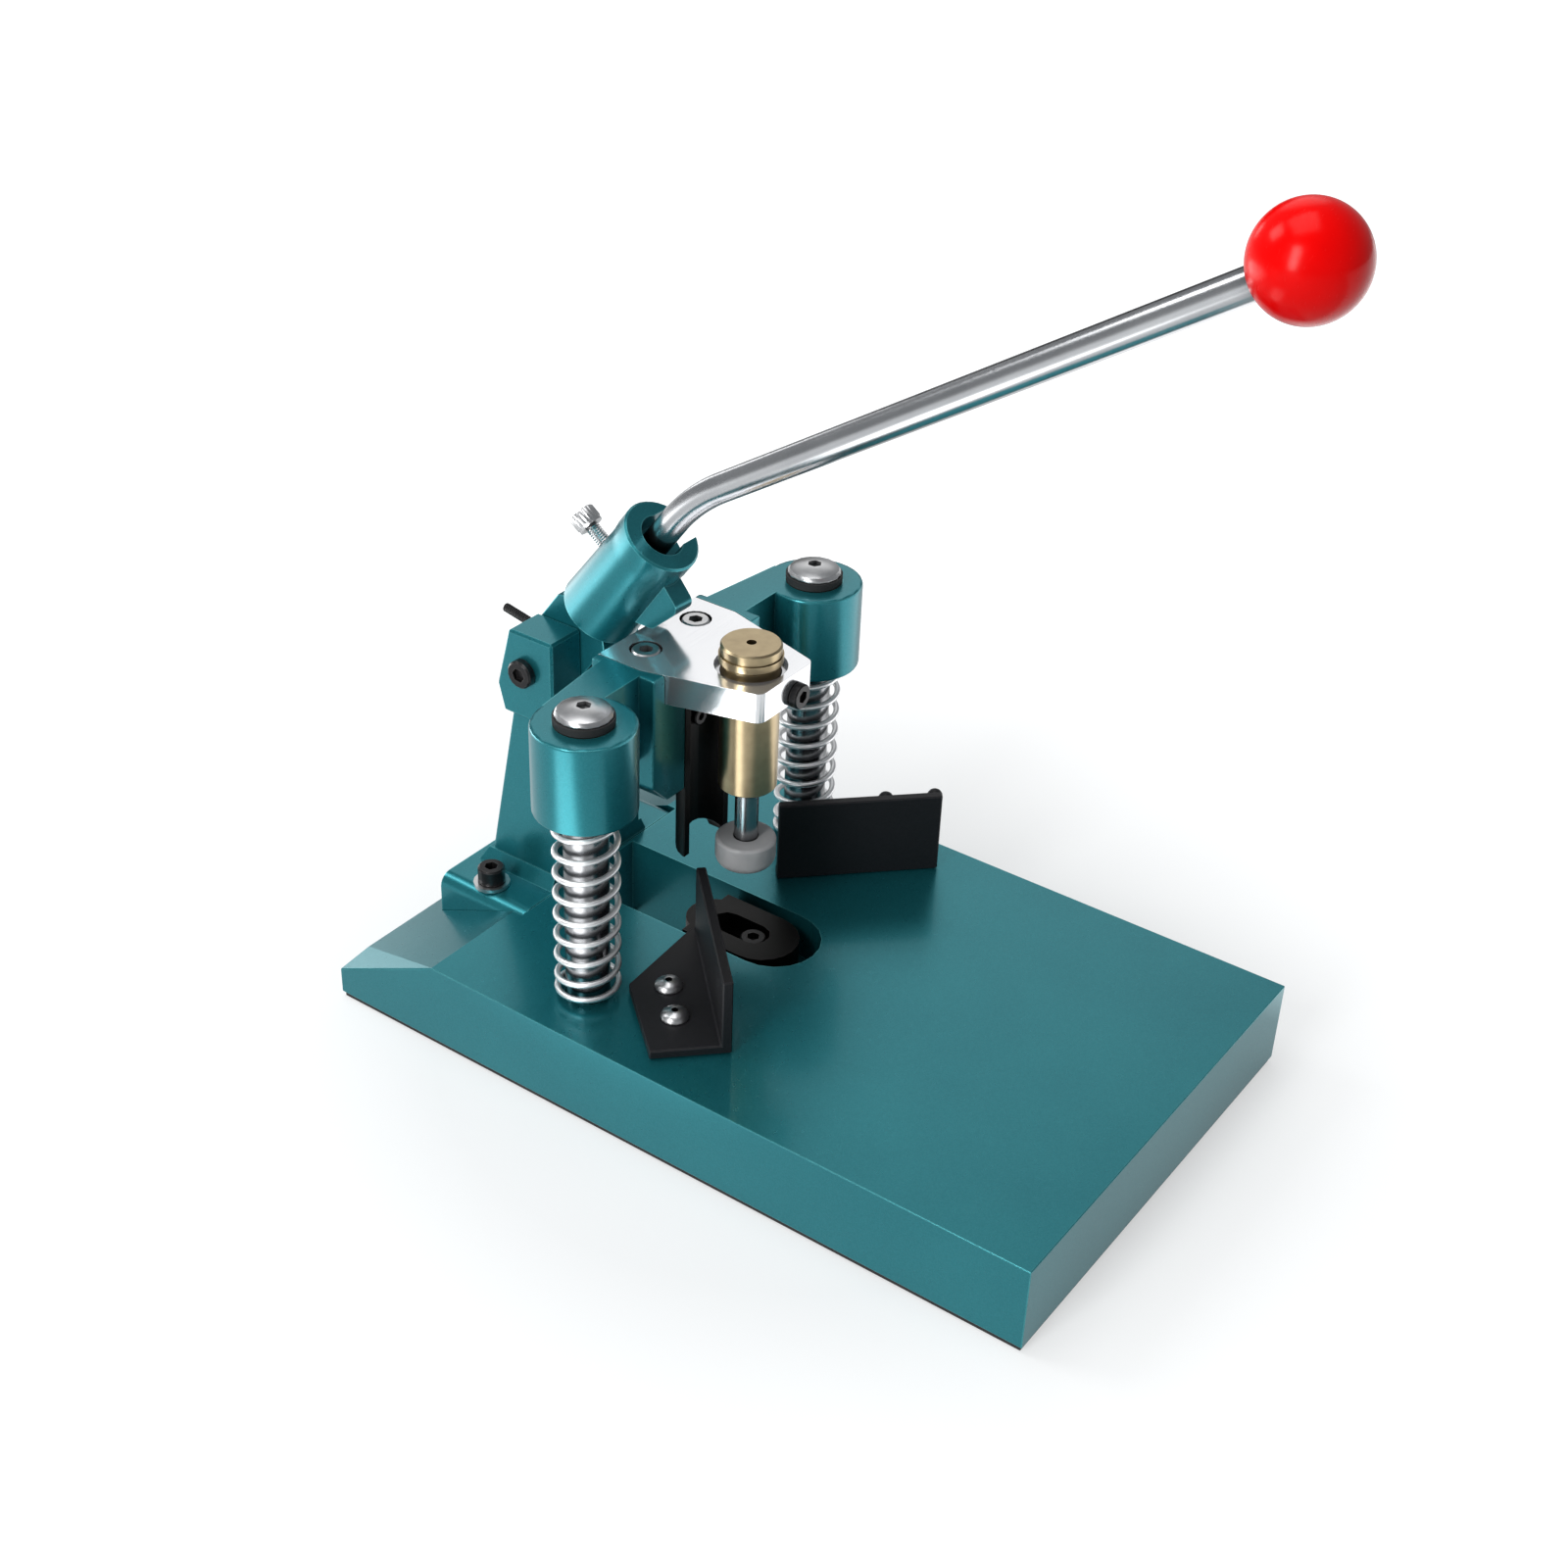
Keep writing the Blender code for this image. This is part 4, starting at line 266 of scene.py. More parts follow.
def tone(red, green, blue):
    """A screen colour, 0 to 255, as the linear colour that a shader uses."""
    linear = []
    for part in (red, green, blue):
        share = part / 255
        linear.append(share / 12.92 if share <= 0.04045 else ((share + 0.055) / 1.055) ** 2.4)
    return (*linear, 1.0)


print("teal as a shader sees it:", [round(part, 3) for part in tone(64, 118, 122)])

# %% [markdown]
# ## Teal enamel
# The castings carry a metallic lacquer: fine flakes under a clear coat. The flakes make it flash bright cyan
# where a lamp is reflected and fall to a deep petrol blue elsewhere, which plain paint doesn't do, so the
# shader is part metal with a thin coat. Cells of under half a millimetre stand for the flakes, a wide noise
# for uneven spraying. The edges are lighter, partly because the paint pulls thin there and partly as a
# painted highlight, and the hollows are darkened with painted shade.

# %% Teal enamel
def teal_enamel():
    finish = Finish("teal_enamel")
    flakes = finish.node("ShaderNodeTexVoronoi", {"feature": "F1"},
                         {"Vector": place_of(finish), "Scale": 2600.0}, output="Color")
    sparkle = finish.node("ShaderNodeSeparateColor", {}, {"Color": flakes})
    clouds = grain(finish, scale=28.0, detail=4.0)
    body = finish.mix(clouds, tone(22, 112, 122), tone(33, 126, 135))
    flaked = finish.mix(sparkle * 0.08, body, tone(84, 180, 190))
    # painted highlight on the edges, where the paint also pulls thin
    edges = edge_mask(finish, radius=0.0007)
    edged = finish.mix(edges * 0.5, flaked, tone(120, 216, 220))
    # painted shade in the hollows of the casting
    hollow = hollow_mask(finish, reach=0.013) * 0.66
    finish.set(Base_Color=finish.mix(hollow, edged, tone(6, 42, 52)),
               Metallic=0.72,
               Roughness=0.25 + 0.08 * grain(finish, scale=900.0, detail=2.0),
               Coat_Weight=0.2,
               Coat_Roughness=0.12,
               Normal=relief(finish, grain(finish, scale=700.0, detail=3.0), depth=0.000005))
    return finish.material


FINISHES = {"teal_enamel": teal_enamel()}
print("finishes so far:", list(FINISHES))

# %% [markdown]
# ## Polished steel
# The posts and the lever's rod are bright, almost like a mirror. A mirror shows mostly what stands around it,
# so the finish itself stays simple: pale metal, a little haze that varies, and hair-fine draw marks along the
# length that only show in the highlights. Where coils and posts stand close together shade is painted into
# the steel, so the hollow mask counts the neighbouring pieces here.

# %% Polished steel
def polished_steel():
    finish = Finish("polished_steel")
    haze = grain(finish, scale=60.0, detail=5.0)
    draw_marks = grain(finish, scale=900.0, detail=2.0, stretch=(1, 1, 0.05))
    bright = finish.mix(haze, tone(176, 177, 180), tone(200, 201, 203))
    # painted shade where other pieces stand close, as the coils round the posts
    shade = hollow_mask(finish, reach=0.007, own_piece=False, dark=0.45, open_sky=0.95)
    finish.set(Base_Color=finish.mix(shade * 0.85, bright, tone(38, 39, 41)),
               Metallic=1.0,
               Roughness=0.16 + 0.07 * haze + 0.05 * draw_marks,
               Normal=relief(finish, draw_marks, depth=0.000002))
    return finish.material


FINISHES["polished_steel"] = polished_steel()
print("finishes so far:", list(FINISHES))

# %% [markdown]
# Spring wire is the same bright steel, but drawn and not ground. Its surface is rougher, so it gathers the
# light of the whole room and looks paler than the posts behind it.

# %% Drawn steel wire
def drawn_wire():
    finish = Finish("drawn_wire")
    haze = grain(finish, scale=160.0, detail=4.0)
    pale = finish.mix(haze, tone(236, 237, 238), tone(250, 250, 250))
    # painted shade on the wire where it runs close to a post or rod
    shade = hollow_mask(finish, reach=0.0024, own_piece=False, dark=0.1, open_sky=0.6)
    finish.set(Base_Color=finish.mix(shade * 0.8, pale, tone(60, 61, 63)),
               Metallic=1.0,
               Roughness=0.34 + 0.12 * haze,
               Normal=relief(finish, grain(finish, scale=1400.0, detail=2.0), depth=0.000003))
    return finish.material


WIRE = drawn_wire()
print("wire finish:", WIRE.name)

# %% [markdown]
# ## Bright zinc
# The domed screws and the washers are zinc plated. The plating is bright but not a mirror, and a lathe has
# left fine rings. A noise that is made much finer along the upright axis gives such rings on any upright
# turned part. Shade is painted dark into the sockets and between the threads, and a painted contact shadow
# runs where a screw meets its seat.

# %% Bright zinc
def bright_zinc():
    finish = Finish("bright_zinc")
    rings = grain(finish, scale=120.0, detail=2.0, stretch=(1, 1, 40))
    stains = grain(finish, scale=420.0, detail=3.0)
    plating = finish.mix(stains, tone(188, 189, 191), tone(220, 220, 220))
    # painted shade in the sockets and threads, and a painted contact shadow at the seat
    own_hollows = hollow_mask(finish, reach=0.0025)
    seat_line = hollow_mask(finish, reach=0.0008, own_piece=False) * 0.8
    crevice_shade = finish.node("ShaderNodeMath", {"operation": "MAXIMUM"}, {0: own_hollows, 1: seat_line})
    finish.set(Base_Color=finish.mix(crevice_shade, plating, tone(22, 22, 24)),
               Metallic=1.0,
               Roughness=0.26 + 0.10 * rings,
               Normal=relief(finish, rings, depth=0.000002))
    return finish.material


FINISHES["bright_zinc"] = bright_zinc()
print("finishes so far:", list(FINISHES))

# %% [markdown]
# ## Milled aluminium
# The plate on the press head is a finely milled block, polished until its top mirrors the room and the lever
# above it. The cutter's close parallel lines still roughen it a little. The edges are bright where they were
# broken with a file, and a fine line of painted shade runs round the cap and the screws set in it.

# %% Milled aluminium
def machined_aluminium():
    finish = Finish("machined_aluminium")
    lines = grain(finish, scale=90.0, detail=3.0, stretch=(1, 45, 45))
    edges = edge_mask(finish, radius=0.0004)
    silver = finish.mix(lines, tone(230, 231, 234), tone(246, 247, 249))
    broken = finish.mix(edges * 0.6, silver, tone(252, 252, 252))
    # painted shade round the cap and the screws set in the plate
    rim_shade = hollow_mask(finish, reach=0.0022, own_piece=False) * 0.8
    finish.set(Base_Color=finish.mix(rim_shade, broken, tone(40, 40, 42)),
               Metallic=0.9,
               Roughness=0.12 + 0.08 * lines,
               Normal=relief(finish, lines, depth=0.000005))
    return finish.material


FINISHES["machined_aluminium"] = machined_aluminium()
print("finishes so far:", list(FINISHES))

# %% [markdown]
# ## Dull brass
# The presser's housing and cap are turned brass gone brown and dull, with one sharp yellow streak of light.
# The rings of the lathe tool run round it, so the noise is again made finer along the upright axis.

# %% Dull brass
def dull_brass():
    finish = Finish("dull_brass")
    rings = grain(finish, scale=110.0, detail=2.0, stretch=(1, 1, 45))
    tarnish = grain(finish, scale=260.0, detail=4.0)
    metal = finish.mix(tarnish, tone(164, 146, 116), tone(196, 178, 142))
    edges = edge_mask(finish, radius=0.0004)
    edged = finish.mix(edges * 0.5, metal, tone(230, 212, 172))
    # the brass darkens in its own hollows: painted shade
    finish.set(Base_Color=finish.mix(hollow_mask(finish, reach=0.002), edged, tone(26, 20, 14)),
               Metallic=1.0,
               Roughness=0.26 + 0.08 * rings,
               Normal=relief(finish, rings, depth=0.0000015))
    return finish.material


FINISHES["dull_brass"] = dull_brass()
print("finishes so far:", list(FINISHES))

# %% [markdown]
# ## The dark finishes
# Four blacks that differ in their gloss. Black oxide on the screws is satin and slightly metallic. The die
# and the blade are blackened and ground, with rubbed edges that show the steel. The paper guides have a satin
# black enamel with a fine grain. The rubber is matt and a little dusty.

# %% Black oxide, blackened steel, black enamel and rubber
def dark_finish(name, low, high, edge, metal, roughness, grain_scale, depth, gloss=0.5):
    finish = Finish(name)
    speckle = grain(finish, grain_scale, detail=4.0)
    edges = edge_mask(finish, radius=0.00035)
    worn = edges * grain(finish, scale=350.0, detail=2.0)
    finish.set(Base_Color=finish.mix(worn, finish.mix(speckle, low, high), edge),
               Metallic=metal,
               Roughness=roughness + 0.14 * speckle,
               Specular_IOR_Level=gloss,
               Normal=relief(finish, speckle, depth))
    return finish.material


DARK_FINISHES = {
    "black_oxide": {"low": tone(26, 26, 28), "high": tone(44, 43, 44), "edge": tone(120, 116, 114),
                    "metal": 0.6, "roughness": 0.28, "grain_scale": 1600.0, "depth": 0.00001},
    "blackened_steel": {"low": tone(12, 12, 12), "high": tone(24, 22, 21), "edge": tone(84, 79, 76),
                        "metal": 0.45, "roughness": 0.30, "grain_scale": 900.0, "depth": 0.000012,
                        "gloss": 0.25},
    "black_enamel": {"low": tone(20, 20, 22), "high": tone(34, 34, 37), "edge": tone(70, 68, 72),
                     "metal": 0.0, "roughness": 0.40, "grain_scale": 1500.0, "depth": 0.00002,
                     "gloss": 0.25},
    "black_rubber": {"low": tone(24, 24, 25), "high": tone(42, 41, 41), "edge": tone(58, 57, 56),
                     "metal": 0.0, "roughness": 0.62, "grain_scale": 1100.0, "depth": 0.00003},
}
for name, look in DARK_FINISHES.items():
    FINISHES[name] = dark_finish(name, **look)
print("finishes so far:", list(FINISHES))

# %% [markdown]
# ## The presser's soft foot
# A disc of milky nylon lets some light into its body. Subsurface scattering does this: light enters, spreads
# a few millimetres and leaves, so the shaded side never goes black.

# %% White nylon
def white_nylon():
    finish = Finish("white_nylon")
    cloud = grain(finish, scale=220.0, detail=4.0)
    finish.set(Base_Color=finish.mix(cloud, tone(150, 150, 151), tone(176, 176, 177)),
               Roughness=0.34 + 0.16 * cloud,
               Subsurface_Weight=0.35,
               Subsurface_Radius=(0.004, 0.004, 0.004),
               Subsurface_Scale=1.0,
               Normal=relief(finish, grain(finish, scale=1300.0, detail=3.0), depth=0.00001))
    return finish.material


FINISHES["white_nylon"] = white_nylon()
print("finishes so far:", list(FINISHES))

# %% [markdown]
# ## The red knob's plastic
# A moulded ball is hard and glossy. Its red is deep and even, so what makes it real is in the gloss: a faint
# waviness of the mould and small scuffs where hands and benches have touched it.

# %% Red plastic
def red_knob():
    finish = Finish("red_knob")
    wave = grain(finish, scale=180.0, detail=2.0)
    scuffs = finish.ramp(grain(finish, scale=520.0, detail=6.0, stretch=(1, 3, 1)), low=0.58, high=0.72)
    finish.set(Base_Color=finish.mix(wave, tone(236, 0, 0), tone(247, 1, 1)),
               Roughness=0.20 + 0.12 * scuffs,
               Specular_IOR_Level=0.13,
               Normal=relief(finish, wave, depth=0.000012))
    return finish.material


FINISHES["red_knob"] = red_knob()
print("all finishes:", list(FINISHES))

# %% [markdown]
# ## Giving each solid its finish
# The record names one material slot for every solid. Following it keeps the picture and the record in step.

# %% Assign the finishes
SLOTS = {row["node"]: row["material_slot"] for row in frame["record"]["subparts"]}
for name, solid in frame["nodes"].items():
    for slot in solid.material_slots:
        slot.material = FINISHES[SLOTS[name]]
print("finished", len(SLOTS), "solids")

# %% [markdown]
# ## A round tube along a path
# The rod and the springs are both a circle carried along a line. A curve with a bevel could do it, but here
# they are meshes. At each point a ring is set square to the path, and the rings' direction is passed on from
# one point to the next, so that the tube never twists.

# %% The tube maker
def swept_tube(name, path, radius, sides):
    bm = bmesh.new()
    rings = []
    across = None
    for index, point in enumerate(path):
        ahead = path[min(index + 1, len(path) - 1)] - path[max(index - 1, 0)]
        along = ahead.normalized()
        if across is None:
            across = along.orthogonal()
        across = (across - along * across.dot(along)).normalized()
        other = along.cross(across)
        ring = []
        for side in range(sides):
            turn = 2 * math.pi * side / sides
            ring.append(bm.verts.new(point + (across * math.cos(turn) + other * math.sin(turn)) * radius))
        rings.append(ring)
    for first, second in zip(rings, rings[1:]):
        for side in range(sides):
            after = (side + 1) % sides
            bm.faces.new((first[side], first[after], second[after], second[side]))
    for ring in (rings[0], rings[-1]):
        bm.faces.new(ring)
    return finish_mesh(name, bm)


def finish_mesh(name, bm):
    bmesh.ops.recalc_face_normals(bm, faces=bm.faces)
    mesh = bpy.data.meshes.new(name)
    bm.to_mesh(mesh)
    bm.free()
    mesh.shade_smooth()
    mesh.set_sharp_from_angle(angle=CREASE_ANGLE)
    piece = bpy.data.objects.new(name, mesh)
    bpy.context.scene.collection.objects.link(piece)
    return piece


def stand_for(piece, node, body, finish=None):
    """The piece takes the node's place and body, and its finish too if no other is given."""
    piece.data.materials.append(finish or FINISHES[SLOTS[node]])
    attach(piece, body)
    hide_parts(node)
    low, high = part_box(node)
    print(node, "is", [round((b - a) * 1000, 1) for a, b in zip(low, high)], "mm in the CAD")


print("tube maker ready")

# %% [markdown]
# ## The lever's rod
# One chromed bar comes up out of the socket, bends once and runs straight to the knob. The path is worked out
# in the lever's own frame, with its z along the socket, and then tilted by the socket's angle. That frame
# starts at the pivot, whose place the record gives.

# %% The rod's path
JOINTS = {joint["name"]: joint for joint in frame["record"]["behaviour"]["joints"]}
PIVOT = Vector(JOINTS["lever_pivot"]["pos_m"])
SOCKET_ANGLE = math.radians(53.6)
ROD_START = 0.0263
ROD_BEND_AT = 0.0834
ROD_BEND = math.radians(21)
ROD_BEND_RADIUS = 0.065
ROD_REACH = 0.2112
ROD_RADIUS = 0.0046
ROD_IN_KNOB = 0.0017
ROD_SIDES = 48
BEND_STEPS = 32
TILT = Matrix.Rotation(math.pi / 2 - SOCKET_ANGLE, 4, "X")


def in_place(point):
    """A point of the lever's frame, in the machine's frame."""
    return PIVOT + TILT @ point


def rod_direction():
    return Vector((0, -math.sin(ROD_BEND), math.cos(ROD_BEND)))


def rod_path():
    tangent = ROD_BEND_RADIUS * math.tan(ROD_BEND / 2)
    centre = Vector((0, -ROD_BEND_RADIUS, ROD_BEND_AT - tangent))
    points = [Vector((0, 0, ROD_START))]
    for step in range(BEND_STEPS + 1):
        turn = ROD_BEND * step / BEND_STEPS
        points.append(centre + Vector((0, math.cos(turn), math.sin(turn))) * ROD_BEND_RADIUS)
    points.append(Vector((0, 0, ROD_BEND_AT)) + rod_direction() * (ROD_REACH + ROD_IN_KNOB))
    return [in_place(point) for point in points]


rod = swept_tube("chromed_rod", rod_path(), ROD_RADIUS, ROD_SIDES)
stand_for(rod, "lever_rod", "lever")

# %% [markdown]
# ## The ball knob
# The knob is a ball with a small flat where the rod enters, bored for its brass insert. Turning half of its
# outline round an axis is how a lathe would make it, and the steps are fine enough that its edge is round.

# %% Turn an outline round an axis
def turned_piece(name, outline, centre, direction, sides, shape=None):
    """The outline is a list of radii and heights, with a third word where a ring isn't round."""
    bm = bmesh.new()
    upright = direction.to_track_quat("Z", "Y").to_matrix()
    rings = []
    for radius, height, *kind in outline:
        if radius == 0:
            rings.append([bm.verts.new(centre + direction * height)])
            continue
        ring = []
        for side in range(sides):
            turn = 2 * math.pi * side / sides
            reach = shape(kind[0], radius, height, turn) if kind else radius
            spot = Vector((reach * math.cos(turn), reach * math.sin(turn), height))
            ring.append(bm.verts.new(centre + upright @ spot))
        rings.append(ring)
    for first, second in zip(rings, rings[1:]):
        for side in range(sides):
            after = (side + 1) % sides
            corners = [first[side % len(first)], first[after % len(first)],
                       second[after % len(second)], second[side % len(second)]]
            unique = list(dict.fromkeys(corners))
            if len(unique) > 2:
                bm.faces.new(unique)
    return finish_mesh(name, bm)


KNOB_RADIUS = 0.015
KNOB_FLAT = 0.013
INSERT_BORE = 0.0067
INSERT_DEPTH = 0.0173
KNOB_STEPS = 48
KNOB_SIDES = 96


def knob_outline():
    flat_edge = math.pi - math.acos(KNOB_FLAT / KNOB_RADIUS)
    ball = []
    for step in range(KNOB_STEPS + 1):
        turn = flat_edge * step / KNOB_STEPS
        ball.append((KNOB_RADIUS * math.sin(turn), KNOB_RADIUS * math.cos(turn)))
    floor = INSERT_DEPTH - KNOB_FLAT
    return ball + [(INSERT_BORE, -KNOB_FLAT), (INSERT_BORE, floor), (0, floor)]


KNOB_CENTRE = in_place(Vector((0, 0, ROD_BEND_AT)) + rod_direction() * ROD_REACH)
ROD_AXIS = (TILT @ rod_direction()).normalized()
knob = turned_piece("ball_knob", knob_outline(), KNOB_CENTRE, ROD_AXIS, KNOB_SIDES)
stand_for(knob, "lever_knob", "lever")

# %% [markdown]
# ## The screws on the lever
# The bright screw that clamps the rod has a knurled head and a threaded shank. The long black one behind it
# is threaded all the way. A thread is a groove that winds down the shank, so a ring's radius depends on its
# height and on the direction; a knurl and the hexagon of the socket depend on the direction alone.

# %% Knurl, thread and hexagon
THREAD_PITCH = 0.0008
THREAD_DEPTH = 0.00028
THREAD_STEP = THREAD_PITCH / 6
KNURLS = 24
KNURL_DEPTH = 0.00022


def screw_shape(kind, radius, height, turn):
    if kind == "thread":
        phase = (height / THREAD_PITCH - turn / (2 * math.pi)) % 1
        return radius - THREAD_DEPTH * (1 - abs(2 * phase - 1))
    if kind == "knurl":
        return radius - KNURL_DEPTH * abs(math.sin(KNURLS * turn / 2))
    side = turn % (math.pi / 3) - math.pi / 6
    return radius * math.cos(math.pi / 6) / math.cos(side)


def thread_rings(radius, top, bottom):
    count = round((top - bottom) / THREAD_STEP)
    return [(radius, top + (bottom - top) * step / count, "thread") for step in range(count + 1)]


print("thread pitch", THREAD_PITCH * 1000, "mm")

# %% The clamp screw
CLAMP_SEAT = Vector((0, 0.0191, 0.0429))
CLAMP_SIDES = 96
CLAMP_HEAD_RADIUS = 0.0044
CLAMP_HEAD_TOP = 0.0055
CLAMP_CHAMFER = 0.0004
CLAMP_HEXAGON = 0.0023
CLAMP_HEXAGON_FLOOR = 0.0025
CLAMP_KNURL_END = 0.0013
CLAMP_COLLAR_RADIUS = 0.0041
CLAMP_COLLAR_TOP = 0.0009
CLAMP_NECK_RADIUS = 0.0020
CLAMP_NECK_END = -0.0006
CLAMP_THREAD_RADIUS = 0.00235
CLAMP_THREAD_TOP = -0.0007
CLAMP_THREAD_END = -0.0138
CLAMP_TIP_RADIUS = 0.0018
CLAMP_TIP = -0.0142

clamp_outline = [(0, CLAMP_HEXAGON_FLOOR),
                 (CLAMP_HEXAGON, CLAMP_HEXAGON_FLOOR, "hexagon"),
                 (CLAMP_HEXAGON, CLAMP_HEAD_TOP, "hexagon"),
                 (CLAMP_HEAD_RADIUS - CLAMP_CHAMFER, CLAMP_HEAD_TOP),
                 (CLAMP_HEAD_RADIUS, CLAMP_HEAD_TOP - CLAMP_CHAMFER, "knurl"),
                 (CLAMP_HEAD_RADIUS, CLAMP_KNURL_END, "knurl"),
                 (CLAMP_COLLAR_RADIUS, CLAMP_COLLAR_TOP),
                 (CLAMP_COLLAR_RADIUS, 0),
                 (CLAMP_NECK_RADIUS, 0),
                 (CLAMP_NECK_RADIUS, CLAMP_NECK_END)]
clamp_outline += thread_rings(CLAMP_THREAD_RADIUS, CLAMP_THREAD_TOP, CLAMP_THREAD_END)
clamp_outline += [(CLAMP_TIP_RADIUS, CLAMP_TIP), (0, CLAMP_TIP)]
clamp = turned_piece("knurled_clamp_screw", clamp_outline, in_place(CLAMP_SEAT), TILT @ Vector((0, 1, 0)),
                     CLAMP_SIDES, screw_shape)
stand_for(clamp, "clamp_screw", "lever")

# %% The pivot's set screw
SET_SCREW_TURN = math.radians(-25.4)
SET_SCREW_SIDES = 36
SET_SCREW_RADIUS = 0.0016
SET_SCREW_TOP = 0.0276
SET_SCREW_CHAMFER = 0.0003
SET_SCREW_HEXAGON = 0.0008
SET_SCREW_HEXAGON_FLOOR = 0.0262
SET_SCREW_TIP_RADIUS = 0.0012
SET_SCREW_TIP = 0.0033

set_screw_outline = [(0, SET_SCREW_HEXAGON_FLOOR),
                     (SET_SCREW_HEXAGON, SET_SCREW_HEXAGON_FLOOR, "hexagon"),
                     (SET_SCREW_HEXAGON, SET_SCREW_TOP, "hexagon"),
                     (SET_SCREW_RADIUS - SET_SCREW_CHAMFER, SET_SCREW_TOP)]
set_screw_outline += thread_rings(SET_SCREW_RADIUS, SET_SCREW_TOP - SET_SCREW_CHAMFER,
                                  SET_SCREW_TIP + SET_SCREW_CHAMFER)
set_screw_outline += [(SET_SCREW_TIP_RADIUS, SET_SCREW_TIP), (0, SET_SCREW_TIP)]
set_screw_axis = TILT @ Vector((0, math.cos(SET_SCREW_TURN), math.sin(SET_SCREW_TURN)))
set_screw = turned_piece("threaded_set_screw", set_screw_outline, in_place(Vector()), set_screw_axis,
                         SET_SCREW_SIDES, screw_shape)
stand_for(set_screw, "pivot_set_screw", "lever")

# %% [markdown]
# ## The presser's foot
# The foot is a moulded disc that must not mark the paper, so its lower edge is well rounded. Arcs in the
# outline give both edges their rounding. Its place and outer size come from the solid that it stands for.

# %% The foot
def middle_of(node):
    """The middle of a node's box, as seen from above."""
    low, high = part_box(node)
    return (low[0] + high[0]) / 2, (low[1] + high[1]) / 2


foot_low, foot_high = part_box("presser_foot")
FOOT_CENTRE = Vector((*middle_of("presser_foot"), 0))
FOOT_RADIUS = (foot_high[0] - foot_low[0]) / 2
FOOT_TOP = foot_high[2]
FOOT_BOTTOM = foot_low[2]
FOOT_SOCKET_RADIUS = 0.0041
FOOT_SOCKET_DEPTH = 0.005
FOOT_UPPER_ROUNDING = 0.0012
FOOT_LOWER_ROUNDING = 0.0034
FOOT_SIDES = 72


def rounding(radius, height, size, first, last, steps=10):
    """Points of an arc in the outline, by its centre and its angles in degrees."""
    points = []
    for step in range(steps + 1):
        turn = math.radians(first + (last - first) * step / steps)
        points.append((radius + size * math.cos(turn), height + size * math.sin(turn)))
    return points


foot_outline = [(0, FOOT_TOP - FOOT_SOCKET_DEPTH),
                (FOOT_SOCKET_RADIUS, FOOT_TOP - FOOT_SOCKET_DEPTH),
                (FOOT_SOCKET_RADIUS, FOOT_TOP)]
foot_outline += rounding(FOOT_RADIUS - FOOT_UPPER_ROUNDING, FOOT_TOP - FOOT_UPPER_ROUNDING,
                         FOOT_UPPER_ROUNDING, first=90, last=0)
foot_outline += rounding(FOOT_RADIUS - FOOT_LOWER_ROUNDING, FOOT_BOTTOM + FOOT_LOWER_ROUNDING,
                         FOOT_LOWER_ROUNDING, first=0, last=-90)
foot_outline.append((0, FOOT_BOTTOM))
foot = turned_piece("soft_foot", foot_outline, FOOT_CENTRE, Vector((0, 0, 1)), FOOT_SIDES)
stand_for(foot, "presser_foot", "presser")

# %% [markdown]
# ## The springs
# Three springs of round wire work in the machine: one round each post and one in the presser's housing. A
# spring's first and last turns lie closer than the rest. The height climbs by a smaller step there, and the
# steps are scaled so that the wire fills exactly the room between its seats. A spring's own box isn't quite
# centred on its axis, so each spring takes its axis from the post or rod that stands in it.

# %% The path of a spring's wire
POINTS_PER_TURN = 48
END_PITCH_SHARE = 0.42
WIRE_SIDES = 12


def spring_path(centre, mean_radius, turns, low, high):
    steps = round(turns * POINTS_PER_TURN)
    gaps = []
    for step in range(steps):
        turn = (step + 0.5) / POINTS_PER_TURN
        gaps.append(END_PITCH_SHARE if min(turn, turns - turn) < 1 else 1)
    unit = (high - low) / sum(gaps)
    points = []
    height = low
    for step in range(steps + 1):
        angle = 2 * math.pi * step / POINTS_PER_TURN
        points.append(Vector((centre[0] + mean_radius * math.cos(angle),
                              centre[1] + mean_radius * math.sin(angle), height)))
        if step < steps:
            height += gaps[step] * unit
    return points


def spring(name, node, body, around, mean_radius, wire_radius, turns):
    """A spring around another piece, from the lower to the upper end of the node that it stands for."""
    low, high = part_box(node)
    path = spring_path(middle_of(around), mean_radius, turns, low[2] + wire_radius, high[2] - wire_radius)
    piece = swept_tube(name, path, wire_radius, WIRE_SIDES)
    stand_for(piece, node, body, WIRE)
    return piece, low[2], high[2]


print("a return spring's axis:", middle_of("guide_post_left"))

# %% [markdown]
# When the lever comes down, the head squeezes the two return springs on their posts, and the presser's foot
# squeezes its own spring in the housing. Each spring keeps one end in place and shortens by the stroke of the
# joint that squeezes it, so the share of its length that is left follows from the two lengths. Here that
# share is only worked out, and each coil gets a mesh of its own; no coil is squeezed.

# %% The three springs and the share of their length that is left
RETURN_SPRING = {"mean_radius": 0.0095, "wire_radius": 0.001, "turns": 9.75}
PRESSER_SPRING = {"mean_radius": 0.0049, "wire_radius": 0.0006, "turns": 8.5}
HEAD_STROKE = max(JOINTS["press_slide"]["range_m"])
FOOT_STROKE = max(JOINTS["presser_slide"]["range_m"])

for side in ("left", "right"):
    coil, seat, top = spring("coil_" + side, "return_spring_" + side, "base", "guide_post_" + side,
                             **RETURN_SPRING)
    1 - HEAD_STROKE / (top - seat)
    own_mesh(coil)
coil, seat, top = spring("coil_presser", "presser_spring", "press_head", "presser_rod", **PRESSER_SPRING)
1 - FOOT_STROKE / (top - seat)
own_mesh(coil)
print("strokes:", HEAD_STROKE, FOOT_STROKE)
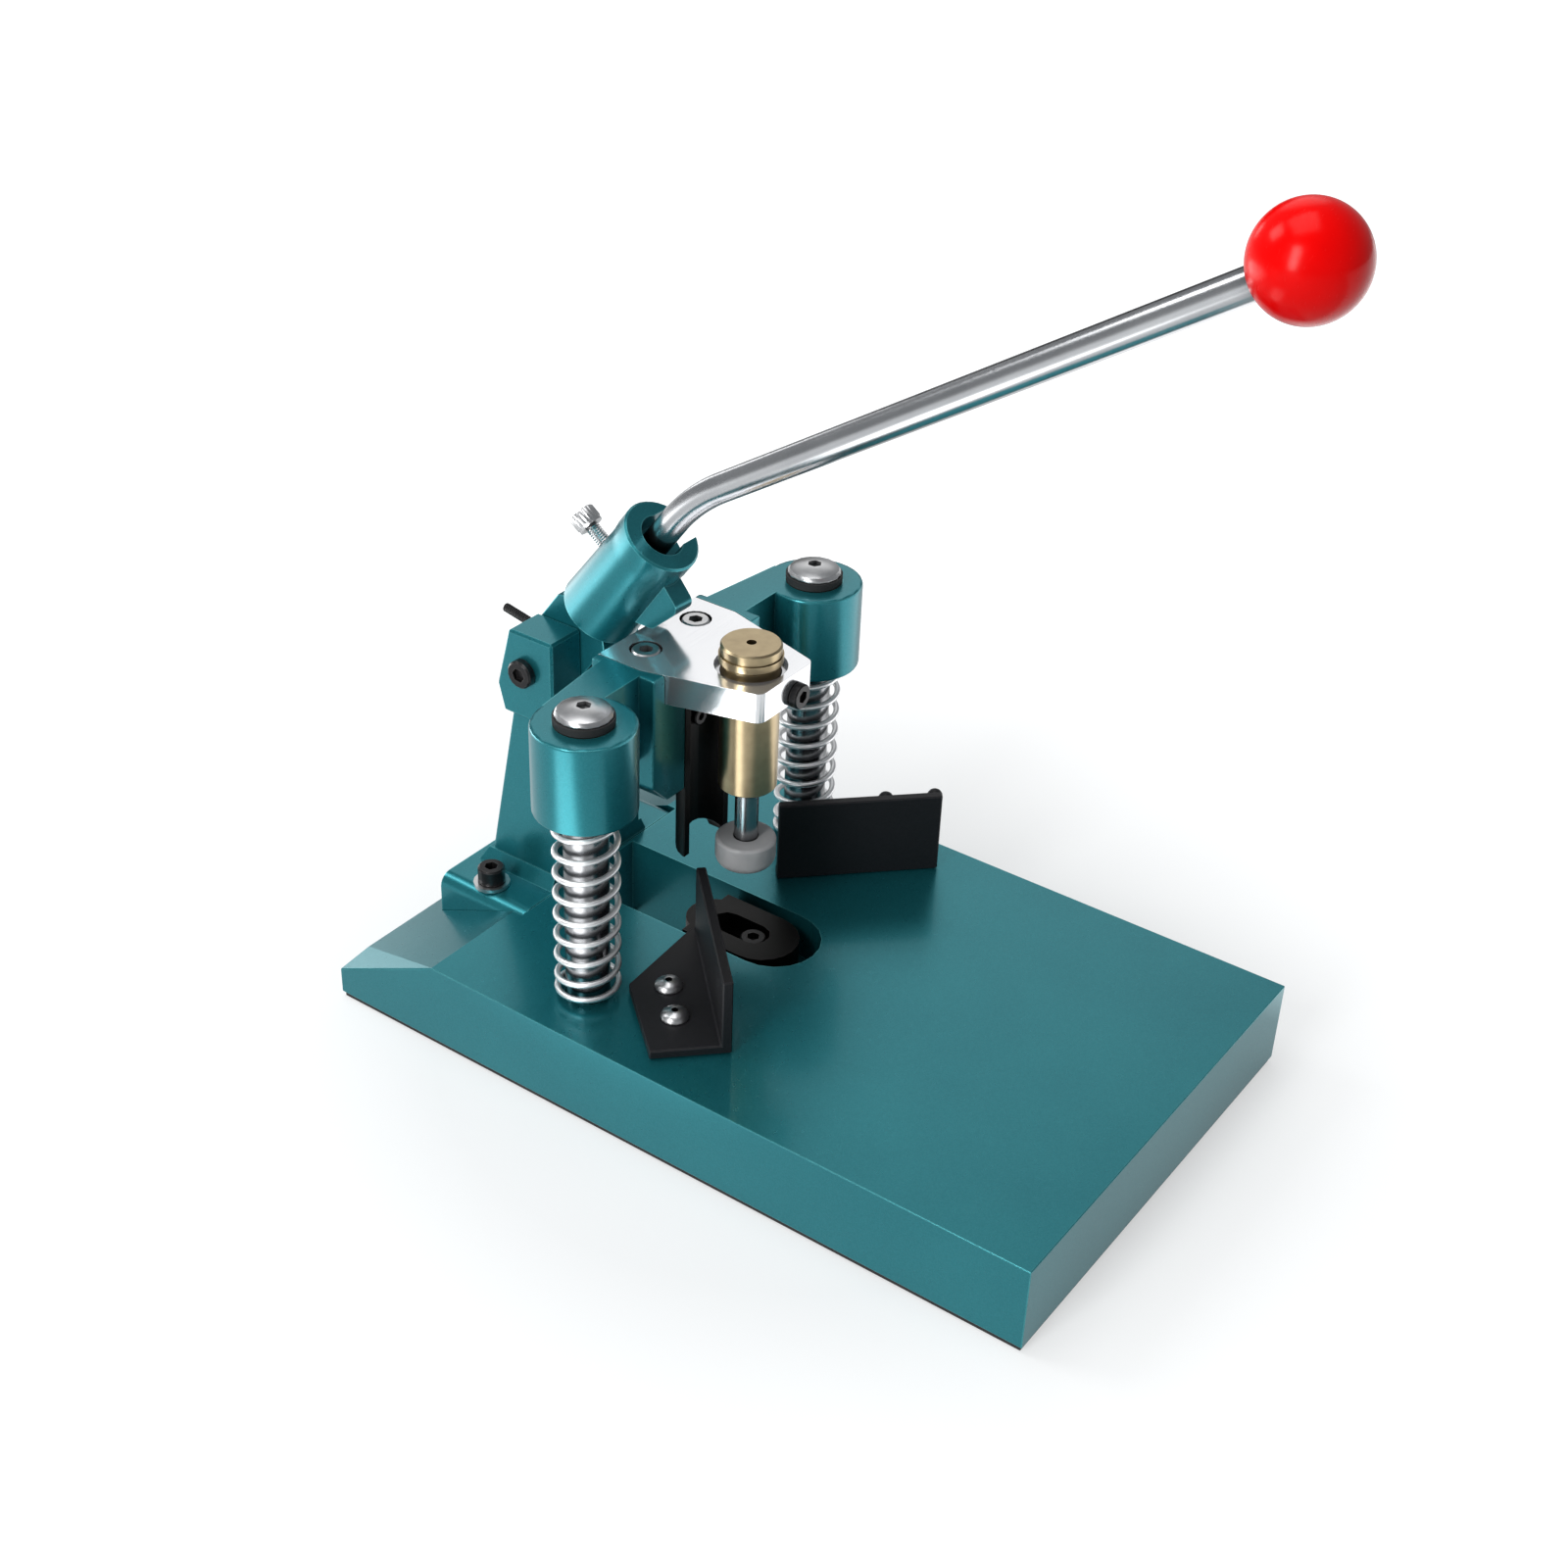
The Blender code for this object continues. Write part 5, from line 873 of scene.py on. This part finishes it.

# %% [markdown]
# ## The studio
# A pale floor runs out to the horizon. For the camera and for reflections it also glows a little, so the
# background is white while the machine's soft shadow stays, and not much light is thrown up from below. Close
# to the machine the camera sees it a little darker: a painted shade round the machine, on top of its real
# shadow. On the left lies a photographer's white card, which only reflections show: it draws an upright
# streak on every turned piece. A second card lies far behind for the streak on the lever's socket, and a
# white sheet on the right brightens the faces that look towards the user.

# %% The cards on the floor
CARD_Y = 0.045
CARD_FLARE = 0.18
CARD_EDGE = 0.04
CARD_BEGINS = (0.118, 0.13)
CARD_ENDS = (0.28, 0.36)
SHEET_LEFT_EDGE = (0.10, 0.13)
SHEET_REAR_EDGE = (-0.05, 0.0)
FAR_CARD = (-0.10, 0.75, 0.0)
FAR_CARD_EDGE = (0.28, 0.44)


def reflector_card(finish, spot):
    """1 on a wedge of floor beside the table's left side, which gives turned pieces an upright streak."""
    x = finish.part(spot, "X")
    off_middle = finish.part(spot, "Y") - CARD_Y
    aside = finish.node("ShaderNodeMath", {"operation": "ABSOLUTE"}, {0: off_middle})
    wedge = 1 - finish.ramp(aside + CARD_FLARE * x, 0.0, CARD_EDGE)
    return wedge * finish.ramp(0 - x, *CARD_BEGINS) * (1 - finish.ramp(0 - x, *CARD_ENDS))


def front_sheet(finish, spot):
    """1 on the floor to the right of the table and in front of it, which the plate's nose mirrors."""
    right = finish.ramp(finish.part(spot, "X"), *SHEET_LEFT_EDGE)
    return right * (1 - finish.ramp(finish.part(spot, "Y"), *SHEET_REAR_EDGE))


def far_card(finish, spot):
    """1 on a round patch of floor far behind, which the lever's socket mirrors."""
    far = finish.node("ShaderNodeVectorMath", {"operation": "DISTANCE"},
                      {0: spot, 1: FAR_CARD}, output="Value")
    return 1 - finish.ramp(far, *FAR_CARD_EDGE)


print("far card at", FAR_CARD)

# %% [markdown]
# The floor's material adds an emission to a plain diffuse surface. The light path tells which ray asks: the
# camera's own rays get one brightness, rays from a shiny surface get another with the cards in it, and all
# other rays get none. So the glow shows in the picture and in reflections and casts no light of its own.

# %% The floor
FLOOR_REACH = 4.0
FLOOR_DROP = 0.0002
FLOOR_COLOUR = (0.40, 0.415, 0.42, 1)
SEEN_NEAR = 0.53
SEEN_RISE = 0.39
SEEN_RISE_PLACE = (0.12, 0.32)
MIRRORED_FLOOR = 0.46
CARD_GLOW = 3.1
SHEET_GLOW = 1.0
FAR_CARD_GLOW = 4.4


def floor_finish():
    finish = Finish("studio_floor")
    spot = finish.node("ShaderNodeTexCoord", output="Object")
    away = finish.node("ShaderNodeVectorMath", {"operation": "LENGTH"}, {0: spot}, output="Value")
    # the camera sees a painted shade on the floor close to the machine
    seen = SEEN_NEAR + SEEN_RISE * finish.ramp(away, *SEEN_RISE_PLACE)
    mirrored = (MIRRORED_FLOOR
                + CARD_GLOW * reflector_card(finish, spot)
                + SHEET_GLOW * front_sheet(finish, spot)
                + FAR_CARD_GLOW * far_card(finish, spot))
    glow = (seen * finish.node("ShaderNodeLightPath", output="Is Camera Ray")
            + mirrored * finish.node("ShaderNodeLightPath", output="Is Glossy Ray"))
    light = finish.node("ShaderNodeEmission", {}, {"Color": glow})
    pale = finish.node("ShaderNodeBsdfDiffuse", {}, {"Color": FLOOR_COLOUR})
    both = finish.node("ShaderNodeAddShader", {}, {0: light, 1: pale})
    finish.put(finish.tree.nodes["Material Output"].inputs["Surface"], both)
    return finish.material


floor_mesh = bpy.data.meshes.new("studio_floor")
corners = [(x * FLOOR_REACH, y * FLOOR_REACH, -FLOOR_DROP) for x, y in ((-1, -1), (1, -1), (1, 1), (-1, 1))]
floor_mesh.from_pydata(corners, [], [(0, 1, 2, 3)])
studio_floor = bpy.data.objects.new("studio_floor", floor_mesh)
bpy.context.scene.collection.objects.link(studio_floor)
floor_mesh.materials.append(floor_finish())
print("floor reaches", FLOOR_REACH, "m each way")

# %% [markdown]
# Around the floor stands a soft grey room, because polished steel needs something dark to reflect before it
# looks like steel. A white panel hangs in it where the flat tops mirror it into the picture: it makes the
# plate white and puts a soft sheen on the table. Low at the back hang a black flag, which keeps the table's
# rear slope dark, and beside it a small window for the bevel at the slope's edge. The camera itself sees
# plain white.

# %% The room
WHITE = (1, 1, 1, 1)
WALLS = (0.31, 0.32, 0.33, 1)
CEILING = (0.22, 0.23, 0.24, 1)
CEILING_BEGINS = (0.15, 0.6)
PATCHES = {
    "white_panel": {"towards": (0.697, 0.49, 0.52), "inner": 13, "outer": 22, "brightness": 1.1},
    "black_flag": {"towards": (0.72, 0.69, 0.10), "inner": 9, "outer": 16, "brightness": 0.02},
    "small_window": {"towards": (0.42, 0.903, 0.092), "inner": 4, "outer": 7, "brightness": 3.0},
}


def round_patch(room, direction, towards, inner, outer):
    """1 inside a round patch of the room, fading out from the inner to the outer angle in degrees."""
    match = room.node("ShaderNodeVectorMath", {"operation": "DOT_PRODUCT"},
                      {0: direction, 1: towards}, output="Value")
    return room.ramp(match, math.cos(math.radians(outer)), math.cos(math.radians(inner)))


def studio_room():
    world = bpy.data.worlds.new("studio_room")
    world.use_nodes = True
    room = Finish("studio_room", world.node_tree)
    direction = room.node("ShaderNodeTexCoord", output="Generated")
    overhead = room.ramp(room.part(direction, "Z"), *CEILING_BEGINS)
    lit = room.mix(overhead, WALLS, CEILING)
    for patch in PATCHES.values():
        value = patch["brightness"]
        mask = round_patch(room, direction, patch["towards"], patch["inner"], patch["outer"])
        lit = room.mix(mask, lit, (value, value, value, 1))
    camera_ray = room.node("ShaderNodeLightPath", output="Is Camera Ray")
    room.put(room.tree.nodes["Background"].inputs["Color"], room.mix(camera_ray, lit, WHITE))
    return world


bpy.context.scene.world = studio_room()
print("room:", bpy.context.scene.world.name, "with", list(PATCHES))

# %% [markdown]
# Three soft lamps shape the machine. The key is a tall strip beside the table's long left side. A second one
# hangs above and lights the table evenly. The third hangs high behind the machine and lights its rear, so
# high that the lever's rod doesn't mirror it.

# %% The lamps
SUBJECT = Vector((0.0, 0.02, 0.09))


def soft_lamp(name, place, power, width, height):
    light = bpy.data.lights.new(name, "AREA")
    light.shape = "RECTANGLE"
    light.size = width
    light.size_y = height
    light.energy = power
    lamp = bpy.data.objects.new(name, light)
    lamp.location = place
    lamp.rotation_euler = (SUBJECT - Vector(place)).to_track_quat("-Z", "Y").to_euler()
    bpy.context.scene.collection.objects.link(lamp)


soft_lamp("key", place=(-1.45, 0.05, 0.75), power=17.0, width=0.40, height=1.1)
soft_lamp("top", place=(-0.2, 0.3, 1.9), power=11.0, width=1.2, height=1.2)
soft_lamp("rear", place=(-0.4, 1.3, 1.25), power=7.0, width=0.6, height=0.6)

# %% [markdown]
# ## The camera
# The camera stands where the photograph was taken: in front and to the left, looking down on the table. Its
# place and turn were worked out from the table's corners.

# %% The camera
CAMERA_PLACE = (-0.4831, -0.3190, 0.4615)
CAMERA_TURN = (57.589, -1.942, -54.397)
LENS_LENGTH = 51.50
SENSOR_WIDTH = 36.0
NEAREST_SEEN = 0.01

lens = bpy.data.cameras.new("photo_camera")
lens.lens = LENS_LENGTH
lens.sensor_width = SENSOR_WIDTH
lens.clip_start = NEAREST_SEEN
camera = bpy.data.objects.new("photo_camera", lens)
camera.location = CAMERA_PLACE
camera.rotation_euler = [math.radians(part) for part in CAMERA_TURN]
bpy.context.scene.collection.objects.link(camera)
bpy.context.scene.camera = camera
bpy.context.scene.view_settings.view_transform = "Standard"
print("camera at", CAMERA_PLACE, "turned", CAMERA_TURN, "degrees")

# %% [markdown]
# ## Size
# The dressed machine must be as large as the CAD model.
